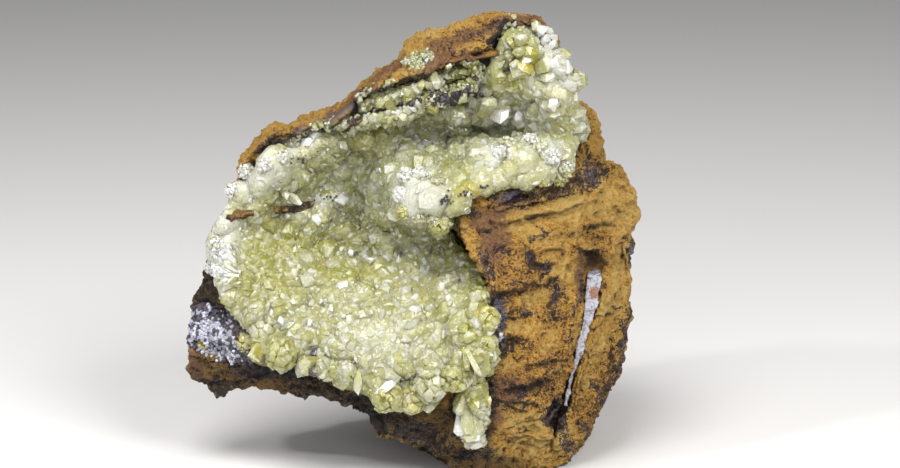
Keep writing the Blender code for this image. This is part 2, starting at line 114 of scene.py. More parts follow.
def remeshed(mesh, voxel, name, smooth=0):
    work = linked(name, mesh)
    skin = work.modifiers.new("skin", "REMESH")
    skin.mode = "VOXEL"
    skin.voxel_size = voxel * mm
    if smooth:
        soft = work.modifiers.new("soft", "SMOOTH")
        soft.factor = 0.5
        soft.iterations = smooth
    made = evaluated(work)
    made.name = name
    return made


def thinned(mesh, triangles, name, spared=None, sparing=1):  # spared corners keep all their triangles
    work = linked(name, mesh)
    fewer = work.modifiers.new("fewer", "DECIMATE")
    mesh.calc_loop_triangles()
    fewer.ratio = min(1.0, triangles / len(mesh.loop_triangles))
    if spared is not None:
        group = work.vertex_groups.new(name="open")
        group.add(np.nonzero(~spared)[0].tolist(), 1.0, "REPLACE")
        fewer.vertex_group = group.name
        fewer.vertex_group_factor = sparing
    made = evaluated(work)
    made.name = name
    return made


def meshFrom(bm, name):
    made = bpy.data.meshes.new(name)
    bm.to_mesh(made)
    bm.free()
    return made


def joined(name, meshes):
    bm = bmesh.new()
    for mesh in meshes:
        bm.from_mesh(mesh)
    return meshFrom(bm, name)


def placesOf(mesh):
    found = np.empty(len(mesh.vertices) * 3, np.float32)
    mesh.vertices.foreach_get("co", found)
    return found.reshape(-1, 3).astype(float)


def normalsOf(mesh):
    found = np.empty(len(mesh.vertices) * 3, np.float32)
    mesh.vertices.foreach_get("normal", found)
    return found.reshape(-1, 3).astype(float)


def movePlaces(mesh, places):
    mesh.vertices.foreach_set("co", places.astype(np.float32).ravel())
    mesh.update()


def trianglesOf(mesh):
    mesh.calc_loop_triangles()
    found = np.empty(len(mesh.loop_triangles) * 3, np.int32)
    mesh.loop_triangles.foreach_get("vertices", found)
    return found.reshape(-1, 3)


def treeOf(mesh):
    return BVHTree.FromPolygons(placesOf(mesh).tolist(), trianglesOf(mesh).tolist())


def brush(mesh, name, *parts):  # three or four values at each corner; a missing fourth is 1
    colours = np.ones((len(mesh.vertices), 4), np.float32)
    colours[:, :len(parts)] = np.column_stack(parts)
    layer = mesh.color_attributes.new(name, "FLOAT_COLOR", "POINT")
    layer.data.foreach_set("color", colours.ravel())


noiseSource = np.random.default_rng(7)
noiseWays = noiseSource.normal(size=(256, 3))
noiseWays /= np.linalg.norm(noiseWays, axis=1)[:, None]
noiseOrder = noiseSource.permutation(256)
noiseTurns = [np.linalg.qr(noiseSource.normal(size=(3, 3)))[0] for turn in range(40)]


def rough(points, size, seed=0):  # smooth random heights from about -1 to 1, in lumps of a size in mm
    place = points @ noiseTurns[seed] / (size * mm) + seed * 19.7
    corner = np.floor(place).astype(np.int64)
    part = place - corner
    ease = part ** 3 * (part * (part * 6 - 15) + 10)
    total = np.zeros(len(points))
    for step in np.ndindex(2, 2, 2):
        cell = corner + step
        key = noiseOrder[cell[:, 0] % 256]
        for axis in (1, 2):
            key = noiseOrder[(key + cell[:, axis]) % 256]
        share = np.prod(np.where(step, ease, 1 - ease), axis=1)
        total += share * np.sum(noiseWays[key] * (part - step), axis=1)
    return total * 1.7


def roughWay(points, size, seed):  # three such heights, as a way to drift
    return np.column_stack([rough(points, size, seed + k) for k in range(3)])


def soften(low, high, value):  # 0 at low, 1 at high
    share = np.clip((value - low) / (high - low), 0, 1)
    return share * share * (3 - 2 * share)


def zone(across, up, blobs):  # 1 in the middle of a blob: across, up, half width, half height, turn
    total = np.zeros(len(across))
    for middle, height, wide, tall, turned in blobs:
        turn = math.radians(turned)
        x, y = across - middle, up - height
        along = (x * math.cos(turn) + y * math.sin(turn)) / wide
        over = (-x * math.sin(turn) + y * math.cos(turn)) / tall
        total = np.maximum(total, np.exp(-(along ** 4 + over ** 4) * 0.7))
    return total


class Socket:  # a shader value that adds its own math nodes
    def __init__(self, paint, link):
        self.paint = paint
        self.link = link

    def combine(self, operation, first, second):
        return self.paint.node("ShaderNodeMath", {"operation": operation}, {0: first, 1: second})

    def __add__(self, other):
        return self.combine("ADD", self, other)

    def __radd__(self, other):
        return self.combine("ADD", other, self)

    def __sub__(self, other):
        return self.combine("SUBTRACT", self, other)

    def __rsub__(self, other):
        return self.combine("SUBTRACT", other, self)

    def __mul__(self, other):
        return self.combine("MULTIPLY", self, other)

    def __rmul__(self, other):
        return self.combine("MULTIPLY", other, self)

    def between(self, low, high):  # 0 at low, 1 at high, eased
        ease = {"interpolation_type": "SMOOTHSTEP"}
        return self.paint.node("ShaderNodeMapRange", ease, {"Value": self, 1: low, 2: high})


class Paint:  # a material in the making
    def __init__(self, name):
        self.material = bpy.data.materials.new(name)
        self.material.use_nodes = True
        self.tree = self.material.node_tree
        self.surface = self.tree.nodes["Principled BSDF"]
        self.where = self.node("ShaderNodeNewGeometry")

    def node(self, kind, settings=None, sockets=None, out=0):
        made = self.tree.nodes.new(kind)
        for key, value in (settings or {}).items():
            if key == "stops":
                self.setStops(made.color_ramp, value)
            else:
                setattr(made, key, value)
        for key, value in (sockets or {}).items():
            self.plug(made.inputs[key], value)
        return Socket(self, made.outputs[out])

    def setStops(self, ramp, stops):
        while len(ramp.elements) < len(stops):
            ramp.elements.new(0.5)
        for element, (place, colour) in zip(ramp.elements, stops):
            element.position = place
            element.color = (*colour, 1)

    def plug(self, socket, value):
        if isinstance(value, Socket):
            self.tree.links.new(value.link, socket)
        elif socket.type == "RGBA":
            socket.default_value = (*value, 1)
        else:
            socket.default_value = value

    def noise(self, size, detail=3.0, roughness=0.55, stretch=None):
        where = self.where
        if stretch:
            where = self.node("ShaderNodeVectorMath", {"operation": "MULTIPLY"}, {0: where, 1: stretch})
        sockets = {"Vector": where, "Scale": 1 / (size * mm), "Detail": detail, "Roughness": roughness}
        return self.node("ShaderNodeTexNoise", None, sockets)

    def brushed(self, name, out=0):
        return self.node("ShaderNodeAttribute", {"attribute_name": name}, None, out)

    def mask(self, name, part):  # one channel of a brushed colour
        return self.node("ShaderNodeSeparateColor", None, {"Color": self.brushed(name)}, part)

    def ramp(self, stops, share):
        return self.node("ShaderNodeValToRGB", {"stops": stops}, {"Fac": share})

    def mix(self, share, first, second, blend="MIX"):
        settings = {"data_type": "RGBA", "blend_type": blend}
        return self.node("ShaderNodeMix", settings, {0: share, 6: first, 7: second}, 2)

    def bump(self, height, distance):
        return self.node("ShaderNodeBump", None, {"Height": height, "Distance": distance * mm})

    def finish(self, sockets):
        for key, value in sockets.items():
            self.plug(self.surface.inputs[key], value)
        return self.material


def seenPlace(tree, across, up, stand=0.0):  # where the eye's ray meets a surface, or None
    ray = rayThrough(across, up)
    hit = tree.ray_cast(eyePlace, ray)[0]
    return hit and hit - ray * stand * mm


# Ledges and plates that stand out of the stone. Along each path: across, up, how far it stands toward
# the eye and its height, all in mm.
ledges = {
    "rimLedge": [
        (-15.2, 52.2, 0.4, 1.0), (-11.8, 55.2, 0.9, 1.3), (-8.6, 57.8, 0.8, 1.2), (-4.6, 61.2, 0.5, 1.2),
    ],
    "redLedge": [(-13.8, 51.4, 0.9, 0.7), (-12, 52.2, 1.5, 0.9), (-10.0, 53.3, 0.8, 0.6)],
    "ochreLedge": [
        (-7, 57.4, 0.5, 0.5), (-4.5, 58.6, 1.3, 0.8), (-1.5, 59.4, 1.5, 1.1), (2.3, 60.4, 0.7, 0.7),
    ],
    "topLedge": [(3, 61.9, 0.6, 0.6), (6, 62.5, 1.3, 0.9), (8.5, 62.8, 1.3, 0.8), (10.4, 63.4, 0.6, 0.5)],
    "pinkLump": [(-0.6, 60.6, 0.6, 1.2), (1.2, 61.7, 1.1, 2.0), (3, 62.6, 0.7, 1.4)],
    "leftPlate": [(-31.3, 38.3, 1.4, 0.7), (-29, 38.9, 2.2, 1.0), (-26.4, 39.2, 1.8, 0.8)],
    "darkPlate": [(-23.2, 39.4, 1.8, 0.8), (-20.5, 39.9, 2.5, 1.1), (-17.4, 40.6, 1.9, 0.8)],
    "armSlab": [
        (7.6, 40.5, 0.3, 1.0), (12, 42, 0.8, 1.4), (17, 43.4, 1.3, 1.9), (22, 44.6, 1.0, 2.4),
        (25.6, 45.2, 0.4, 1.0),
    ],
    "armStep": [(10, 39.6, 0.3, 0.5), (15.5, 41.3, 0.8, 0.8), (21, 42.4, 0.9, 0.9), (26, 42.6, 0.3, 0.6)],
    "seamRoof": [
        (20.8, 33.2, 0.2, 0.7), (22.6, 34.3, 0.7, 0.8), (25.2, 33.5, 0.6, 0.7), (27, 31.6, 0.2, 0.6),
    ],
    "seamCheek": [
        (25.8, 24.5, 0.3, 0.7), (23.8, 18.8, 0.7, 0.9), (22.2, 13.5, 0.8, 1.0), (21.6, 9.5, 0.3, 0.8),
    ],
    "footStep": [(11.5, 5.6, 0.2, 0.6), (14.5, 6.2, 0.6, 0.8), (18, 5.4, 0.4, 0.7)],
    "sideLump": [(28.9, 34.7, 0.2, 1.6), (29.3, 33.2, 0.4, 2.0), (29.6, 31.4, 0.2, 1.8)],
}


def makeLedge(name, path, tree):
    chance = np.random.default_rng(sum(name.encode()))
    bm = bmesh.new()
    points = []
    for start, stop in zip(path, path[1:]):
        points += [tuple(a + (b - a) * share for a, b in zip(start, stop)) for share in (0, 0.34, 0.67)]
    rings = []
    for across, up, stand, tall in points + [path[-1]]:
        middle = seenPlace(tree, across, up, stand)
        if middle is None:
            continue
        ray = rayThrough(across, up) * mm
        low, high = (tall * chance.uniform(0.38, 0.62) for side in range(2))
        corners = [  # rise and depth of a broken edge
            (-low, 0.4), (-low * 0.3, 0), (high * 0.6, 0.1), (high, 0.6), (high * 1.1, 3), (-low * 1.1, 3),
        ]
        jogged = middle + eyeRise * chance.normal() * 0.12 * mm
        rings.append([bm.verts.new(jogged + eyeRise * rise * mm + ray * depth) for rise, depth in corners])
    for first, second in zip(rings, rings[1:]):
        for i in range(len(first)):
            j = (i + 1) % len(first)
            bm.faces.new((first[i], first[j], second[j], second[i]))
    for end in (rings[0], rings[-1]):
        bm.faces.new(end)
    bmesh.ops.recalc_face_normals(bm, faces=bm.faces)
    return meshFrom(bm, name)


rockShape = {
    "voxel": 0.23,
    "smooth": 1,
    "triangles": 197000,
    "behind": 45000,  # triangles left to the unseen half before the whole is thinned
    "sparing": 6,  # how much dearer an edge is that reaches into the seen half
    "lumps": [(7.0, 0.55), (3.4, 0.50), (1.8, 0.36), (0.9, 0.30), (0.55, 0.24)],  # size and height, mm
    "steps": (4.6, 0.7),  # flat-topped broken steps: size and height, mm
    "stepCount": 2.5,
    "pits": (1.0, 0.45),  # size and depth, mm
    "creases": (7.0, 0.35),  # size and depth, mm
    "ridges": (0.7, 0.18),  # sharp crests: size and height, mm
    "layBend": 1.4,  # pits and grain run this much longer across than up
    "rimWidth": 2.4,  # dark band along the crystals' edge, partly dark purple-brown and partly painted shade, mm
    # Hollows in the face, and swellings with a negative depth. Each has across, up, half width, half height,
    # turn and depth.
    "dents": [
        (18.8, 8.6, 1.1, 1.9, -25, 2.4), (10.9, 65.8, 1.1, 1.8, -28, 3.0), (-2.5, 61.9, 1.8, 0.9, 25, 0.9),
        (4.4, 60.0, 2.0, 1.1, 30, 0.9), (9.0, 25.4, 1.3, 0.7, 20, 0.9), (24.6, 16.5, 0.9, 0.8, 60, 0.7),
        (13.0, 27.2, 3.5, 0.45, 12, 0.9), (10.5, 19.6, 3.0, 0.5, 5, 0.9), (17.5, 31.0, 3.4, 0.4, -5, 0.8),
        (14.5, 12.8, 2.5, 0.4, 8, 0.8), (22.0, 36.0, 4.0, 0.4, 8, 0.7), (16, 38.2, 6, 0.35, 14, 0.8),
        (19.4, 19.5, 0.4, 3.0, -12, 0.9), (-3, 56.2, 5, 0.5, 18, 0.8), (5.5, 61.2, 2.4, 0.4, 10, 0.8),
        (25.8, 22.0, 0.8, 9.0, -10, -0.9), (20.6, 23.5, 0.7, 7.0, -14, -0.7),
        (23.8, 34.6, 2.4, 0.7, -5, -1.0), (27.8, 20.0, 0.6, 9.0, -8, 0.7), (13.0, 28.8, 3.5, 0.7, 14, -0.7),
        (12.5, 21.4, 3.2, 0.9, 5, -0.7), (16.5, 39.6, 6.0, 0.6, 14, -0.8), (14.5, 14.4, 3.0, 0.9, 8, -0.6),
        (16.5, 24.5, 1.6, 1.4, 20, -0.6), (11.0, 35.0, 1.8, 1.4, -30, -0.7),
        (18.0, 34.0, 2.2, 0.8, 10, -0.6), (14.6, 32.6, 1.6, 0.8, -30, 0.8), (18.6, 28.0, 1.0, 1.2, 0, 0.8),
        (12.4, 9.5, 2.0, 1.0, 0, 0.7), (16.0, 5.5, 2.4, 0.7, 20, -0.7), (24.0, 7.0, 0.8, 3.0, 20, -0.8),
        (26.4, 37.6, 3.0, 0.5, 5, -0.7), (23.0, 41.0, 3.0, 0.5, 8, -0.6),
    ],
}
# Where the stone differs, and where shade is painted on it, as across, up, half width, half height and turn.
rockZones = {
    "plum": [  # dark purple-brown
        (-33.5, 28.4, 3, 3, 0), (-21, 15.6, 11, 2.4, -8), (-31.5, 12.6, 4, 1.8, 0),
        (-14, 11, 9, 2.4, -10), (-3, 6.5, 9, 2.4, -27), (18.4, 42.8, 8, 1.9, 14),
        (24.4, 45.2, 2.4, 2.4, 0), (8.4, 31.5, 1.2, 3.0, 20), (10.2, 23, 0.8, 7, 5),
        (8.6, 15.5, 1.4, 6, 0), (-34.5, 24.5, 1.2, 4, -12), (-32, 26.6, 3.0, 2.2, 0),
        (19.2, 8.6, 1.9, 2.4, -20), (20.8, 4.0, 1.2, 4.5, 30), (25.4, 12, 0.6, 3, 30),
        (28.8, 18, 0.7, 10, -8), (10.4, 65.8, 1.6, 2.2, -20), (3, 57.2, 4.5, 1.0, 12),
        (-7.5, 55.3, 6, 0.8, 28), (6.5, 3, 4, 1.2, 10), (16.5, 62, 1.4, 1.0, 0),
        (-20.3, 40.2, 3.2, 1.2, 5), (12, 41, 3, 0.7, 20), (23.4, 44.2, 2.8, 1.6, 0),
        (30.6, 33.5, 1.2, 3.0, 0), (24.2, 33.2, 2.4, 0.6, 0), (21.6, 24, 0.5, 6, -14),
        (12.4, 28.6, 3.4, 0.45, 14), (16.2, 35.6, 1.8, 0.5, 20), (15.2, 32.4, 1.2, 0.5, -20),
        (11, 33.4, 1.5, 0.5, -20), (8.3, 36.6, 1.2, 0.5, 0), (17.6, 30.8, 0.9, 0.9, 0),
        (18.8, 26, 0.5, 2.6, 0), (11.0, 18.6, 1.8, 0.6, 8), (14.8, 24.3, 1.6, 0.5, 0),
        (14, 11, 0.6, 1.6, 0), (23.6, 6, 0.7, 2.6, 20),
    ],
    "rust": [  # red-brown
        (-10, 57.2, 9, 0.9, 40), (-12, 52.2, 2.2, 0.9, 25), (6.5, 62.6, 4.2, 1.0, 8),
        (1.2, 61.6, 2.8, 1.6, 25), (-29, 38.9, 3.2, 1.2, 5), (10.5, 39.5, 4, 1.8, 15),
        (9.6, 36, 2.6, 3.0, 20), (18.0, 65.8, 0.8, 4, 35), (13, 68, 5, 0.9, 0), (3, 65, 5, 1.0, 15),
        (8.5, 9, 3, 2.5, 0), (-35, 16.5, 1.4, 3, 0), (-36, 28, 0.9, 5, -12), (11, 12, 2.5, 2.5, 0),
        (24.4, 31.5, 1.6, 1.2, 0), (24.4, 27, 0.8, 0.8, 0), (-24, 15, 6, 1.0, 0), (22.4, 28, 0.6, 3, 0),
    ],
    "sunny": [  # clean bright ochre
        (22, 38.6, 9, 3.6, 10), (16, 7, 5, 4, 0), (22.5, 56, 2.5, 3, 0), (28.4, 30, 1.0, 8, -4),
        (0, 67, 6, 2.0, 12), (-19, 50, 8, 1.0, 30), (15, 37.8, 5, 0.8, 14), (17.5, 40, 7, 0.8, 14),
        (26, 22, 1.0, 6, -10), (-1.5, 59.4, 4, 0.9, 15), (19, 31, 1.6, 2, 0), (15.5, 26.6, 3, 0.8, 12),
        (13, 21.4, 2.6, 0.9, 0), (12, 16.2, 2, 0.7, 0), (18, 20, 1.2, 2, 0),
    ],
    "mottled": [  # dark specks
        (13, 31.5, 4.6, 3.4, -25), (11, 25.5, 3, 1.8, 0), (15, 19.5, 5, 1.2, 0), (13, 13, 4, 2.6, 0),
        (18, 14, 3, 5, 0), (20.5, 37.2, 5, 1.0, 5), (24.5, 9, 3, 3, 0), (26.4, 14, 1.6, 4, 0),
        (19, 24.5, 1.8, 3.5, 0), (26, 35.5, 3, 1.0, 0), (22.5, 53.6, 1.6, 1.6, 0), (6, 66.5, 4, 0.8, 10),
    ],
    "dust": [  # bluish-white grains
        (-32.5, 22.3, 3.4, 3.0, -10), (10.3, 22.5, 0.8, 2.6, 0), (11.6, 41.8, 2.0, 0.7, 20),
        (2.2, 43, 0.8, 0.9, 0), (-1.5, 67.8, 2.2, 0.5, 20), (-8, 9.5, 1.2, 1.2, 0),
        (-17.5, 16.5, 1.4, 1.0, 0), (-15, 53.2, 3.0, 0.8, 35), (-21, 50.2, 5, 0.9, 30),
        (-11.5, 54.8, 2.4, 0.6, 35), (24, 44.8, 1.2, 0.8, 0), (30.2, 33, 0.5, 1.6, 0),
    ],
    "shade": [  # painted deep shade
        (-29, 14.6, 8, 3.4, 0), (-18, 13.4, 11, 3.4, -8), (-6, 8.6, 12, 3.6, -22), (6, 2, 8, 2, -10),
        (-34, 26, 3, 6, -12), (1, 8.4, 5, 3, -20), (8, 7, 1.6, 4, 0), (24.4, 32.2, 1.8, 1.3, 0),
    ],
    "pocket": [  # small pockets of crystals
        (-7.6, 56.3, 2.4, 1.5, 25), (-1.5, 62.2, 1.7, 0.9, 20), (4.8, 59.6, 2.6, 1.8, 20),
        (-0.75, 57.0, 2.4, 1.0, 20), (-17, 51.0, 4, 0.7, 25), (2.6, 42.4, 1.6, 1.2, 0),
        (8.6, 43.2, 2.4, 0.8, 20),
    ],
    "lip": [  # the main crust climbs over the edge
        (-2, 53.4, 9.0, 1.5, 13), (14.2, 65.9, 2.6, 0.8, -20), (17.3, 63.8, 1.1, 2.8, 35),
    ],
}


def roughenRock(mesh):
    places, ways = placesOf(mesh), normalsOf(mesh)
    bend = roughWay(places, 5, 30) * 1.1 * mm
    across, up = seenAt(places + bend * 0.5)
    lay = (places + bend) * (1 / rockShape["layBend"], 1 / rockShape["layBend"], 1)
    rise = sum(rough(places + bend, size, k) * height for k, (size, height) in enumerate(rockShape["lumps"]))
    size, height = rockShape["steps"]
    levels = rough(places + bend, size, 12) * rockShape["stepCount"]
    rise += (np.floor(levels) + soften(0.75, 1, levels % 1) - levels) / rockShape["stepCount"] * height
    size, depth = rockShape["pits"]
    pits = rough(lay, size, 9) + 0.7 * rough(lay, size / 2, 11)
    fine = -soften(0.2, 0.9, pits) * depth
    size, depth = rockShape["creases"]
    fine -= soften(0.06, 0, np.abs(rough(lay, size, 14))) * depth
    size, height = rockShape["ridges"]
    fine += (0.25 - np.abs(rough(lay, size, 15))) * height
    shown = soften(0.0, 0.4, ways @ towardEye) * soften(12, 4, places[:, 1] / mm)
    pressed = np.zeros(len(places))
    for *blob, depth in rockShape["dents"]:
        pressed += zone(across, up, [blob]) * depth
    places += ways * ((rise + fine) * mm)[:, None] + np.outer(pressed * shown * mm, -towardEye)
    places[:, 2] = np.maximum(places[:, 2], 0)
    movePlaces(mesh, places)
    cavity = soften(0.2, -0.7, fine + (rise - rise.mean()) * 0.35 - pressed * 0.5)
    brush(mesh, "cavity", cavity, cavity, cavity)


def stainRock(mesh):
    places, ways = placesOf(mesh), normalsOf(mesh)
    across, up = seenAt(places + roughWay(places, 1.6, 20) * 0.7 * mm)
    shown = soften(-0.35, 0.0, ways @ towardEye)
    toCrust = np.array([crustTree.find(place)[2] for place in places]) / mm
    # A band round the crystals, painted dark: partly dark purple-brown, partly painted shade.
    rim = soften(rockShape["rimWidth"], rockShape["rimWidth"] * 0.3, toCrust + 0.9 * rough(places, 2.4, 25))
    # Faces that face down get painted shade.
    underShade = soften(-0.2, -0.8, ways[:, 2])
    # The dark purple-brown also takes the rim, and the down-facing faces at half strength, as painted shade.
    plum = np.maximum(np.maximum(zone(across, up, rockZones["plum"]) * shown, rim), underShade * 0.5)
    names = ("rust", "sunny", "mottled", "dust", "shade", "pocket")
    rust, sunny, mottled, dust, shade, pocket = (zone(across, up, rockZones[name]) * shown for name in names)
    # Painted shade: the shade zones, the down-facing faces and the rim round the crystals.
    shade = np.maximum(np.maximum(shade, underShade), rim * 0.6)
    brush(mesh, "stain", plum, rust, 0.5 + sunny / 2 - mottled / 2)
    # The dust attribute holds the dust, the painted shade and the pockets.
    brush(mesh, "dust", dust, shade, pocket)


def makeRock():
    plain = nodes["limonite_matrix"].data.copy()
    mesh = remeshed(plain, rockShape["voxel"], "limoniteRock", rockShape["smooth"])
    roughenRock(mesh)
    facing = normalsOf(mesh) @ towardEye > 0
    front = facing.mean() * len(trianglesOf(mesh))
    # The unseen half is thinned first, then the whole.
    mesh = thinned(mesh, front + rockShape["behind"], "limoniteRock", facing, rockShape["sparing"])
    mesh = thinned(mesh, rockShape["triangles"], "limoniteRock")
    stainRock(mesh)
    mesh.shade_smooth()
    print("rock", len(trianglesOf(mesh)), "triangles")
    return addPiece("limoniteRock", mesh, limonite, "limonite_matrix")


plateShape = {
    "voxel": 0.17,
    "triangles": 120000,
    "lumps": [(2.4, 0.30), (1.1, 0.22), (0.5, 0.12)],  # size and height, mm
}


def makePlates():
    plainTree = treeOf(joined("plain", [node.data for node in nodes.values()]))
    parts = [makeLedge(name, path, plainTree) for name, path in ledges.items()]
    mesh = remeshed(joined("limonitePlates", parts), plateShape["voxel"], "limonitePlates")
    places, ways = placesOf(mesh), normalsOf(mesh)
    rise = sum(rough(places, size, 20 + k) * height for k, (size, height) in enumerate(plateShape["lumps"]))
    movePlaces(mesh, places + ways * (rise * mm)[:, None])
    cavity = soften(0.1, -0.4, rise)
    brush(mesh, "cavity", cavity, cavity, cavity)
    mesh = thinned(mesh, plateShape["triangles"], "limonitePlates")
    stainRock(mesh)
    mesh.shade_smooth()
    print("plates", len(trianglesOf(mesh)), "triangles")
    return addPiece("limonitePlates", mesh, limonite)


limoniteLook = {
    "ochre": [
        (0.12, (0.170, 0.070, 0.012)), (0.32, (0.520, 0.245, 0.032)), (0.52, (0.870, 0.450, 0.064)),
        (0.84, (0.990, 0.680, 0.200)),
    ],
    "umber": [(0.35, (0.030, 0.018, 0.013)), (0.65, (0.200, 0.105, 0.042))],
    "plum": [(0.35, (0.020, 0.014, 0.018)), (0.5, (0.085, 0.050, 0.055)), (0.65, (0.260, 0.190, 0.235))],
    "rust": [(0.35, (0.110, 0.045, 0.028)), (0.62, (0.460, 0.215, 0.110))],
    "dust": (0.26, 0.26, 0.34),
    "shade": (0.11, 0.10, 0.10),  # painted shade: multiplies the colour on down-facing faces, in the shade zones and round the crystals
    "pocket": [(0.20, 0.20, 0.09), (0.42, 0.42, 0.24)],
    "patches": (4.0, 4, 0.65),  # size in mm, detail and roughness of each noise
    "streaks": (1.4, 6, 0.75, (0.6, 0.6, 1.1)),
    "grain": (0.8, 6, 0.8),
    "grit": (0.35, 3, 0.8),
    "roughness": 0.78,
    "relief": 3.2,  # of the bump, mm
    "cover": 0.9,  # how much a stain hides the ochre
}


def limoniteFinish():
    p = Paint("limonite")
    look, cover = limoniteLook, limoniteLook["cover"]
    plum, rust, sunny = (p.mask("stain", part) for part in range(3))
    # The dust attribute's second channel is the painted shade.
    dust, shade, pocket = (p.mask("dust", part) for part in range(3))
    cavity = p.mask("cavity", 0)
    names = ("patches", "streaks", "grain", "grit")
    patches, streaks, grain, grit = (p.noise(*look[name]) - 0.5 for name in names)
    vein = p.node("ShaderNodeMath", {"operation": "ABSOLUTE"}, {0: streaks})
    # Each stain is its brushed zone, frayed by the noises; the dark purple-brown also carries painted shade
    # round the crystals and on down-facing faces; hollows take the dark ones first.
    hollow = (cavity - 0.35) * 0.8 - grain * 2.2 - streaks * 0.6 - grit * 2.8
    tone = sunny * 0.36 + 0.37 + patches * 0.8 + grain * 1.5 + streaks * 0.4 + grit * 1.6
    colour = p.ramp(look["ochre"], tone)
    reddened = rust * 0.5 + (0.5 - sunny) * 0.3 + patches * 1.4 + grain * 1.2
    red = p.ramp(look["rust"], grain * 0.9 + grit * 0.6 + 0.5)
    colour = p.mix(reddened.between(0.16, 0.5) * 0.85, colour, red)
    specks = hollow + 0.62 - sunny * 0.9 - patches * 0.8 + plum * 0.2 - vein * 0.4
    colour = p.mix(specks.between(0.36, 0.62) * cover, colour, p.ramp(look["umber"], grit + 0.5))
    plummed = plum * 0.74 + hollow * 0.6 + patches * 0.4
    violet = p.ramp(look["plum"], grain * 0.9 + grit * 0.9 + 0.5)
    colour = p.mix(plummed.between(0.34, 0.56) * cover, colour, violet)
    powdered = dust * 0.62 + grain * 1.4 + grit * 2.0
    colour = p.mix(powdered.between(0.42, 0.62) * 0.85, colour, look["dust"])
    filled = (pocket * 0.7 + grain * 1.4).between(0.35, 0.5)
    colour = p.mix(filled, colour, p.mix(streaks.between(-0.1, 0.1), *look["pocket"]))
    # Painted shade darkens the colour where the shade mask is.
    colour = p.mix(shade * 0.85, colour, p.mix(1.0, colour, look["shade"], "MULTIPLY"))
    normal = p.bump(streaks * 0.5 + grain * 1.3 + grit * 1.2, look["relief"])
    roughness = look["roughness"] - plum * 0.2 + grain * 0.4
    return p.finish({"Base Color": colour, "Roughness": roughness, "Normal": normal})


def crustCorners():  # to find how far the stone is from the crystals
    names = [name for name in sorted(nodes) if name.endswith("_crust")]
    tree = KDTree(sum(len(nodes[name].data.vertices) for name in names))
    for name in names:
        for corner in nodes[name].data.vertices:
            tree.insert(corner.co, 0)
    tree.balance()
    return tree


def hullOf(bm):  # corners and triangles of the hull of some points
    found = bmesh.ops.convex_hull(bm, input=bm.verts)
    inner = list(dict.fromkeys(found["geom_interior"] + found["geom_unused"]))
    bmesh.ops.delete(bm, geom=inner, context="VERTS")
    bmesh.ops.triangulate(bm, faces=bm.faces)
    bm.verts.index_update()
    corners = np.array([v.co for v in bm.verts])
    faces = np.array([[v.index for v in f.verts] for f in bm.faces])
    bm.free()
    return corners, faces


def crystalShape(chance, sides, steep):  # width 1, root at 0, tip at 1, with a roof-like end
    bm = bmesh.new()
    wide = chance.uniform(0.66, 0.98)
    for k in range(sides):
        turn = 2 * math.pi * (k + chance.uniform(-0.2, 0.2)) / sides
        x, y = 0.5 * math.cos(turn), 0.5 * wide * math.sin(turn)
        bm.verts.new((x * 0.75, y * 0.75, 0))
        bm.verts.new((x, y, 1 - steep * chance.uniform(0.7, 1.25)))
    ridge = chance.uniform(0.08, 0.3)
    lean = chance.uniform(-0.1, 0.1)
    for side in (-1, 1):
        bm.verts.new((ridge * side, lean, 1 - chance.uniform(0, 0.04)))
        beside = lean + chance.uniform(0.08, 0.16) * wide
        bm.verts.new((ridge * side * 1.1, beside, 1 - chance.uniform(0.01, 0.05)))
    return hullOf(bm)


shapeChance = np.random.default_rng(11)
crystalShapes = [
    crystalShape(shapeChance, sides, steep)
    for sides in (4, 5, 6) for steep in (0.14, 0.22, 0.32) for turn in range(3)
]
prismKinds = len(crystalShapes)


def knobShape(chance, count):  # a faceted knob, width 1, round its root
    bm = bmesh.new()
    for k in range(count):
        tall = 1 - 2 * (k + chance.uniform(0.1, 0.9)) / count
        turn, flat = k * 2.4 + chance.uniform(-0.4, 0.4), math.sqrt(1 - tall * tall)
        reach = 0.5 * chance.uniform(0.78, 1.05)
        bm.verts.new((reach * flat * math.cos(turn), reach * flat * math.sin(turn), reach * tall))
    return hullOf(bm)


knobKinds = [prismKinds + k for k in range(4)]
crystalShapes += [knobShape(shapeChance, 30) for kind in knobKinds]
fullTurn = 6.3  # of a crystal about its own axis, rad
goldenTurn = 2.39996  # rad, spreads crystals evenly over a lobe

tints = {  # of the tips; the roots and the bed are yellower
    "cream": (0.46, 0.46, 0.37),
    "lime": (0.33, 0.32, 0.10),
    "frost": (0.76, 0.77, 0.79),
    "olive": (0.22, 0.22, 0.10),
    "honey": (0.48, 0.45, 0.17),
    "mist": (0.43, 0.45, 0.41),
    "milk": (0.57, 0.57, 0.49),
}
roots = {  # multiplies a tint down in the gaps
    "cream": (0.84, 0.82, 0.46),
    "lime": (0.86, 0.85, 0.30),
    "frost": (0.86, 0.86, 0.78),
    "olive": (0.85, 0.85, 0.36),
    "honey": (0.90, 0.80, 0.28),
    "mist": (0.84, 0.84, 0.54),
    "milk": (0.88, 0.87, 0.66),
}
tintNames = list(tints)
tintTable = np.array([tints[name] for name in tintNames])
rootTable = tintTable * np.array([roots[name] for name in tintNames])
crystalForm = {
    "larger": 0.35,  # how much wider in the zones of large crystals
    "finer": 0.5,  # how much narrower in the zones of fine ones
    "proud": 0.9,  # how far tips may stand out in front of the plain solids, mm
    "shoulder": 0.45,  # how far the shoulders lean to the root's colour
    "tip": (0.82, 0.83, 0.80),  # the ridge leans to this
    "tipShare": 0.25,
    "bare": (0.030, 0.022, 0.026),  # painted shade: the bed's near-black colour in the dark hollows between the lobes
}


